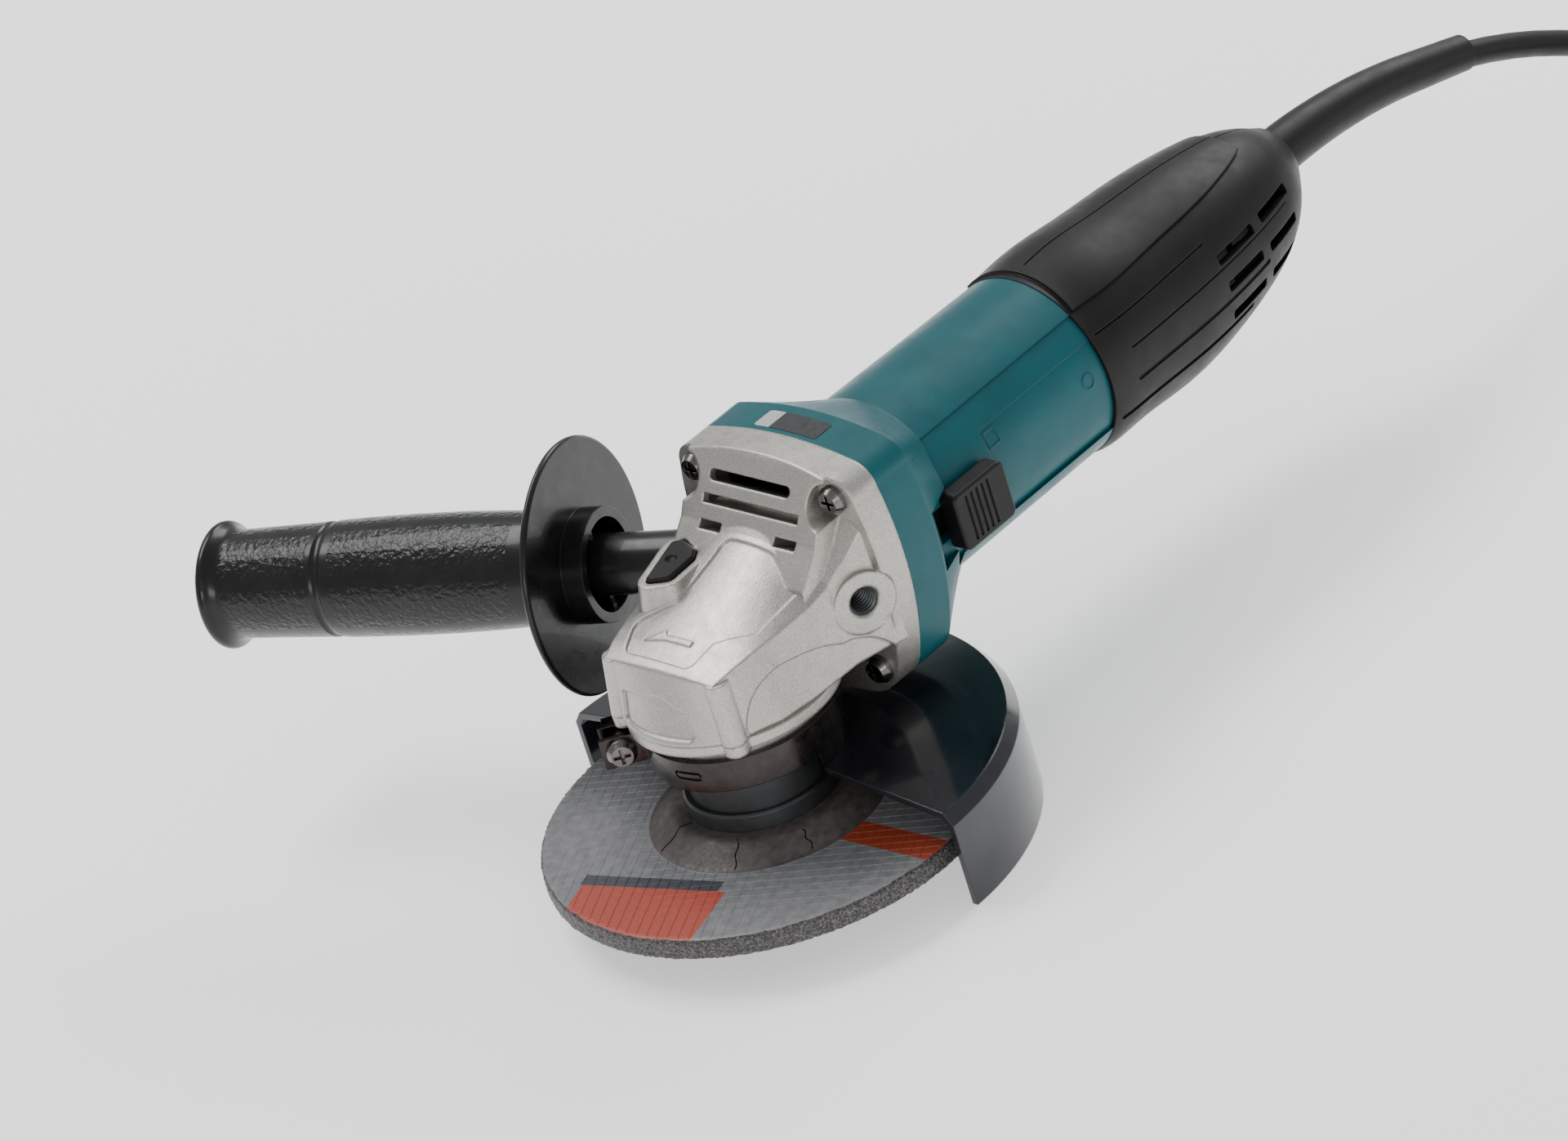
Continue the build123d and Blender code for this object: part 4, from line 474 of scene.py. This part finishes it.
def add_cord(materials):
    top = FLOOR + 6 * CORD_RADIUS
    half_plug = 7.5 * MM
    plug_height = top + half_plug
    last_layer = top - CORD_RADIUS
    tail = []
    # from the top layer the cord climbs along the ring to the plug
    climb = (
        (0.5, last_layer),
        (0.56, last_layer + 0.0008),
        (0.63, last_layer + 0.0055),
        (0.69, plug_height - 0.0008),
    )
    for share, height in climb:
        angle = -2 * math.pi * share
        tail.append((
            COIL_CENTRE[0] + (COIL_RADIUS + 0.0008) * math.cos(angle),
            COIL_CENTRE[1] + (COIL_RADIUS + 0.0008) * math.sin(angle),
            height,
        ))
    line = COIL_CENTRE[1] + COIL_RADIUS
    tail.append((COIL_CENTRE[0] - 0.011, line, plug_height))
    tail.append((COIL_CENTRE[0] - 0.005, line, plug_height))
    points = ROUTE + coil_points() + tail
    curve = bpy.data.curves.new("power_cord_curve", "CURVE")
    curve.dimensions = "3D"
    spline = curve.splines.new("NURBS")
    spline.points.add(len(points) - 1)
    for point, place in zip(spline.points, points):
        point.co = (*place, 1)
    spline.order_u = 3
    spline.use_endpoint_u = True
    spline.resolution_u = 6
    curve.bevel_depth = CORD_RADIUS
    curve.bevel_resolution = 6
    curve.use_fill_caps = True
    cord = bpy.data.objects.new("power_cord_sheath", curve)
    bpy.context.scene.collection.objects.link(cord)
    cord.data.materials.append(materials["cord_rubber"])
    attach(cord, "housing")
    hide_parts("power_cord", "cord_coil")


# ------------------------------------------------------------ grinding wheel
WHEEL_RADIUS = 62.5 * MM
BORE_RADIUS = 11.115 * MM
HUB_RISE = 4.6 * MM
HUB_FLAT = 25.0 * MM
HUB_SLOPE = 32.6 * MM
WHEEL_THICK = 6.0 * MM


def steps(start, stop, count):
    """Evenly spaced values from start to just before stop."""
    return [start + (stop - start) * k / count for k in range(count)]


def wheel_profile():
    """Radius, height and roughness of points round the wheel's section."""
    rough = 0.42 * MM
    profile = [(BORE_RADIUS, HUB_RISE, 0.0)]
    profile += [(r, HUB_RISE, 0.3 * rough) for r in steps(BORE_RADIUS + MM, HUB_FLAT, 8)]
    profile += [
        (r, HUB_RISE * (HUB_SLOPE - r) / (HUB_SLOPE - HUB_FLAT), 0.3 * rough)
        for r in steps(HUB_FLAT, HUB_SLOPE, 6)
    ]
    profile += [(r, 0.0, 0.4 * rough) for r in steps(HUB_SLOPE, WHEEL_RADIUS - MM, 22)]
    profile += [(WHEEL_RADIUS - 0.25 * MM, 0.1 * MM, rough)]
    profile += [(WHEEL_RADIUS, z, rough) for z in steps(0.6 * MM, WHEEL_THICK - 0.3 * MM, 9)]
    profile += [(WHEEL_RADIUS - 0.25 * MM, WHEEL_THICK - 0.1 * MM, rough)]
    profile += [(r, WHEEL_THICK, 0.08 * rough) for r in steps(WHEEL_RADIUS - MM, HUB_SLOPE, 22)]
    profile += [
        (r, WHEEL_THICK + HUB_RISE * (HUB_SLOPE - r) / (HUB_SLOPE - HUB_FLAT), 0.12 * rough)
        for r in steps(HUB_SLOPE, HUB_FLAT, 6)
    ]
    profile += [(r, WHEEL_THICK + HUB_RISE, 0.0) for r in steps(HUB_FLAT, BORE_RADIUS, 8)]
    profile += [(BORE_RADIUS, WHEEL_THICK + HUB_RISE, 0.0)]
    return profile


def add_wheel(materials):
    """The wheel with its coarse grain worn into the surface, inside the CAD shape."""
    profile = wheel_profile()
    around = 480
    mesh = bmesh.new()
    rings = []
    for k in range(around):
        angle = 2 * math.pi * k / around
        ring = []
        for radius, height, rough in profile:
            spot = Vector((radius * math.cos(angle), radius * math.sin(angle), height))
            pit = 0.5 + 0.5 * noise.noise(spot / (0.85 * MM)) + 0.3 * noise.noise(spot / (0.4 * MM))
            depth = rough * min(1.0, max(0.0, pit))
            radius -= depth if radius > HUB_FLAT else 0.0
            height += depth if height < WHEEL_THICK / 2 else -depth
            ring.append(mesh.verts.new((radius * math.cos(angle), radius * math.sin(angle), height)))
        rings.append(ring)
    count = len(profile)
    for k in range(around):
        here, after = rings[k], rings[(k + 1) % around]
        for j in range(count):
            i = (j + 1) % count
            mesh.faces.new((here[j], here[i], after[i], after[j]))
    bmesh.ops.recalc_face_normals(mesh, faces=mesh.faces)
    data = bpy.data.meshes.new("wheel_body")
    mesh.to_mesh(data)
    mesh.free()
    for face in data.polygons:
        face.use_smooth = True
    wheel = link_piece("wheel_body", data, materials["abrasive"], "spindle")
    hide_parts("grinding_wheel")


def add_wheel_net(materials):
    """Raised diagonal net of glass threads under the wheel's paper."""
    mesh = bmesh.new()
    gap = 3.1 * MM
    half = 0.34 * MM
    rise = 0.21 * MM
    inner, outer = HUB_SLOPE + 0.3 * MM, WHEEL_RADIUS - 1.6 * MM
    low = WHEEL_THICK - 0.1 * MM
    for turn in (math.radians(28), math.radians(-62)):
        for k in range(-19, 20):
            offset = k * gap
            reach = math.sqrt(max(0.0, outer**2 - offset**2))
            hole = math.sqrt(max(0.0, inner**2 - offset**2))
            spans = [(-reach, reach)] if hole == 0 else [(-reach, -hole), (hole, reach)]
            for start, stop in spans:
                if stop - start < MM:
                    continue
                section = []
                for along in (start, stop):
                    for side, height in ((-half, low), (0, low + rise), (half, low)):
                        x, y = along, offset + side
                        section.append(mesh.verts.new((
                            x * math.cos(turn) - y * math.sin(turn),
                            x * math.sin(turn) + y * math.cos(turn),
                            height,
                        )))
                a, b, c, d, e, f = section
                mesh.faces.new((a, d, e, b))
                mesh.faces.new((b, e, f, c))
                mesh.faces.new((a, c, f, d))
                mesh.faces.new((a, b, c))
                mesh.faces.new((d, f, e))
    bmesh.ops.recalc_face_normals(mesh, faces=mesh.faces)
    data = bpy.data.meshes.new("wheel_net")
    mesh.to_mesh(data)
    mesh.free()
    link_piece("wheel_net", data, materials["abrasive"], "spindle")


def add_hub_threads(materials):
    """A few loose glass threads that show through the hub's slope."""
    mesh = bmesh.new()
    half = 0.16 * MM
    # direction in degrees, then the distances from the axis where each thread starts and stops
    threads = (
        (158, 21.5, 32.0),
        (206, 24.0, 31.8),
        (245, 26.0, 31.5),
        (331, 22.0, 32.2),
        (12, 23.0, 32.0),
    )
    for degrees, start, stop in threads:
        turn = math.radians(degrees)
        rows = []
        for step in range(13):
            radius = (start + (stop - start) * step / 12) * MM
            bend = 0.0007 * math.sin(step * 0.9 + degrees)
            slope = max(0.0, radius - HUB_FLAT) / (HUB_SLOPE - HUB_FLAT)
            height = WHEEL_THICK + HUB_RISE * (1 - slope) + 0.05 * MM
            row = []
            for side in (-half, half):
                across = side + bend * 0.5
                row.append(mesh.verts.new((
                    radius * math.cos(turn) - across * math.sin(turn),
                    radius * math.sin(turn) + across * math.cos(turn),
                    height,
                )))
            rows.append(row)
        for before, after in zip(rows, rows[1:]):
            mesh.faces.new((before[0], before[1], after[1], after[0]))
    bmesh.ops.solidify(mesh, geom=list(mesh.faces), thickness=0.12 * MM)
    bmesh.ops.recalc_face_normals(mesh, faces=mesh.faces)
    data = bpy.data.meshes.new("hub_threads")
    mesh.to_mesh(data)
    mesh.free()
    link_piece("hub_threads", data, materials["glass_thread"], "spindle")


# ------------------------------------------------------------ small parts
def add_handle_thread(materials):
    """M8 thread in the open handle boss on the left."""
    lean, droop = math.radians(BOSS_LEAN), math.radians(BOSS_DROOP)
    outward = Vector((
        -math.sin(lean) * math.cos(droop),
        -math.cos(lean) * math.cos(droop),
        -math.sin(droop),
    ))
    across = Vector((math.cos(lean), -math.sin(lean), 0))
    other = outward.cross(across)
    start = Vector(BOSS_POINT)
    pitch = 1.25 * MM
    root_radius, crest_radius = 4.02 * MM, 3.38 * MM
    half_root, half_crest = 0.55 * MM, 0.1 * MM
    section = (
        (root_radius, -half_root),
        (crest_radius, -half_crest),
        (crest_radius, half_crest),
        (root_radius, half_root),
    )
    per_turn = 32
    turns = 11
    mesh = bmesh.new()
    rows = []
    for k in range(turns * per_turn + 1):
        angle = 2 * math.pi * k / per_turn
        depth = 0.4 * MM + pitch * k / per_turn
        radial = across * math.cos(angle) + other * math.sin(angle)
        row = []
        for radius, shift in section:
            row.append(mesh.verts.new(start + radial * radius - outward * (depth + shift)))
        rows.append(row)
    for before, after in zip(rows, rows[1:]):
        for j in range(4):
            i = (j + 1) % 4
            mesh.faces.new((before[j], before[i], after[i], after[j]))
    mesh.faces.new(rows[0])
    mesh.faces.new(rows[-1])
    bmesh.ops.recalc_face_normals(mesh, faces=mesh.faces)
    data = bpy.data.meshes.new("left_boss_thread")
    mesh.to_mesh(data)
    mesh.free()
    link_piece("left_boss_thread", data, materials["dark_steel"], "housing")


def add_label():
    """Blank rating label on the flat top of the housing's flange."""
    s = Shader("label_film")
    split = s.node("ShaderNodeSeparateXYZ")
    s.link(s.place, split.inputs[0])
    pale_end = s.math("GREATER_THAN", split.outputs[1], 5.5 * MM)
    worn = s.scale(s.noise(2.5 * MM, 4.0), 0.0, 0.12)
    s.colour(s.ramp(s.math("ADD", s.math("MULTIPLY", pale_end, 0.8), worn), [
        (0.0, (0.020, 0.020, 0.022)),
        (0.15, (0.032, 0.032, 0.034)),
        (0.75, (0.50, 0.50, 0.52)),
        (1.0, (0.42, 0.42, 0.44)),
    ]))
    s.rough(s.scale(s.noise(1.5 * MM, 3.0), 0.26, 0.4))
    s.bump(s.noise(0.5 * MM, 2.0), 0.008 * MM)
    mesh = bmesh.new()
    rows = []
    middle_x, half_x, half_y = 0.0452, 0.0036, 0.0112
    proud = 0.00012
    # the flange's top falls this far at this distance from the middle plane
    fall, fall_at = 0.003, 0.0266
    halves = 12
    for k in range(2 * halves + 1):
        y = half_y * (k / halves - 1)
        # the two ends are pulled in a little
        half = half_x * (0.86 if k in (0, 2 * halves) else 1.0)
        top = LABEL_SEAT - fall * (y / fall_at) ** 2 + proud
        rows.append([mesh.verts.new((middle_x + side * half, y, top)) for side in (-1, 1)])
    for before, after in zip(rows, rows[1:]):
        mesh.faces.new((before[0], before[1], after[1], after[0]))
    bmesh.ops.recalc_face_normals(mesh, faces=mesh.faces)
    bmesh.ops.solidify(mesh, geom=list(mesh.faces), thickness=0.2 * MM)
    bmesh.ops.recalc_face_normals(mesh, faces=mesh.faces)
    data = bpy.data.meshes.new("flange_label")
    mesh.to_mesh(data)
    mesh.free()
    link_piece("flange_label", data, s.material, "housing")


# ------------------------------------------------------------ build
add_camera()
materials = make_materials()
add_cord(materials)
add_studio()
dress_nodes(materials)
add_wheel(materials)
add_wheel_net(materials)
add_hub_threads(materials)
add_handle_thread(materials)
add_label()
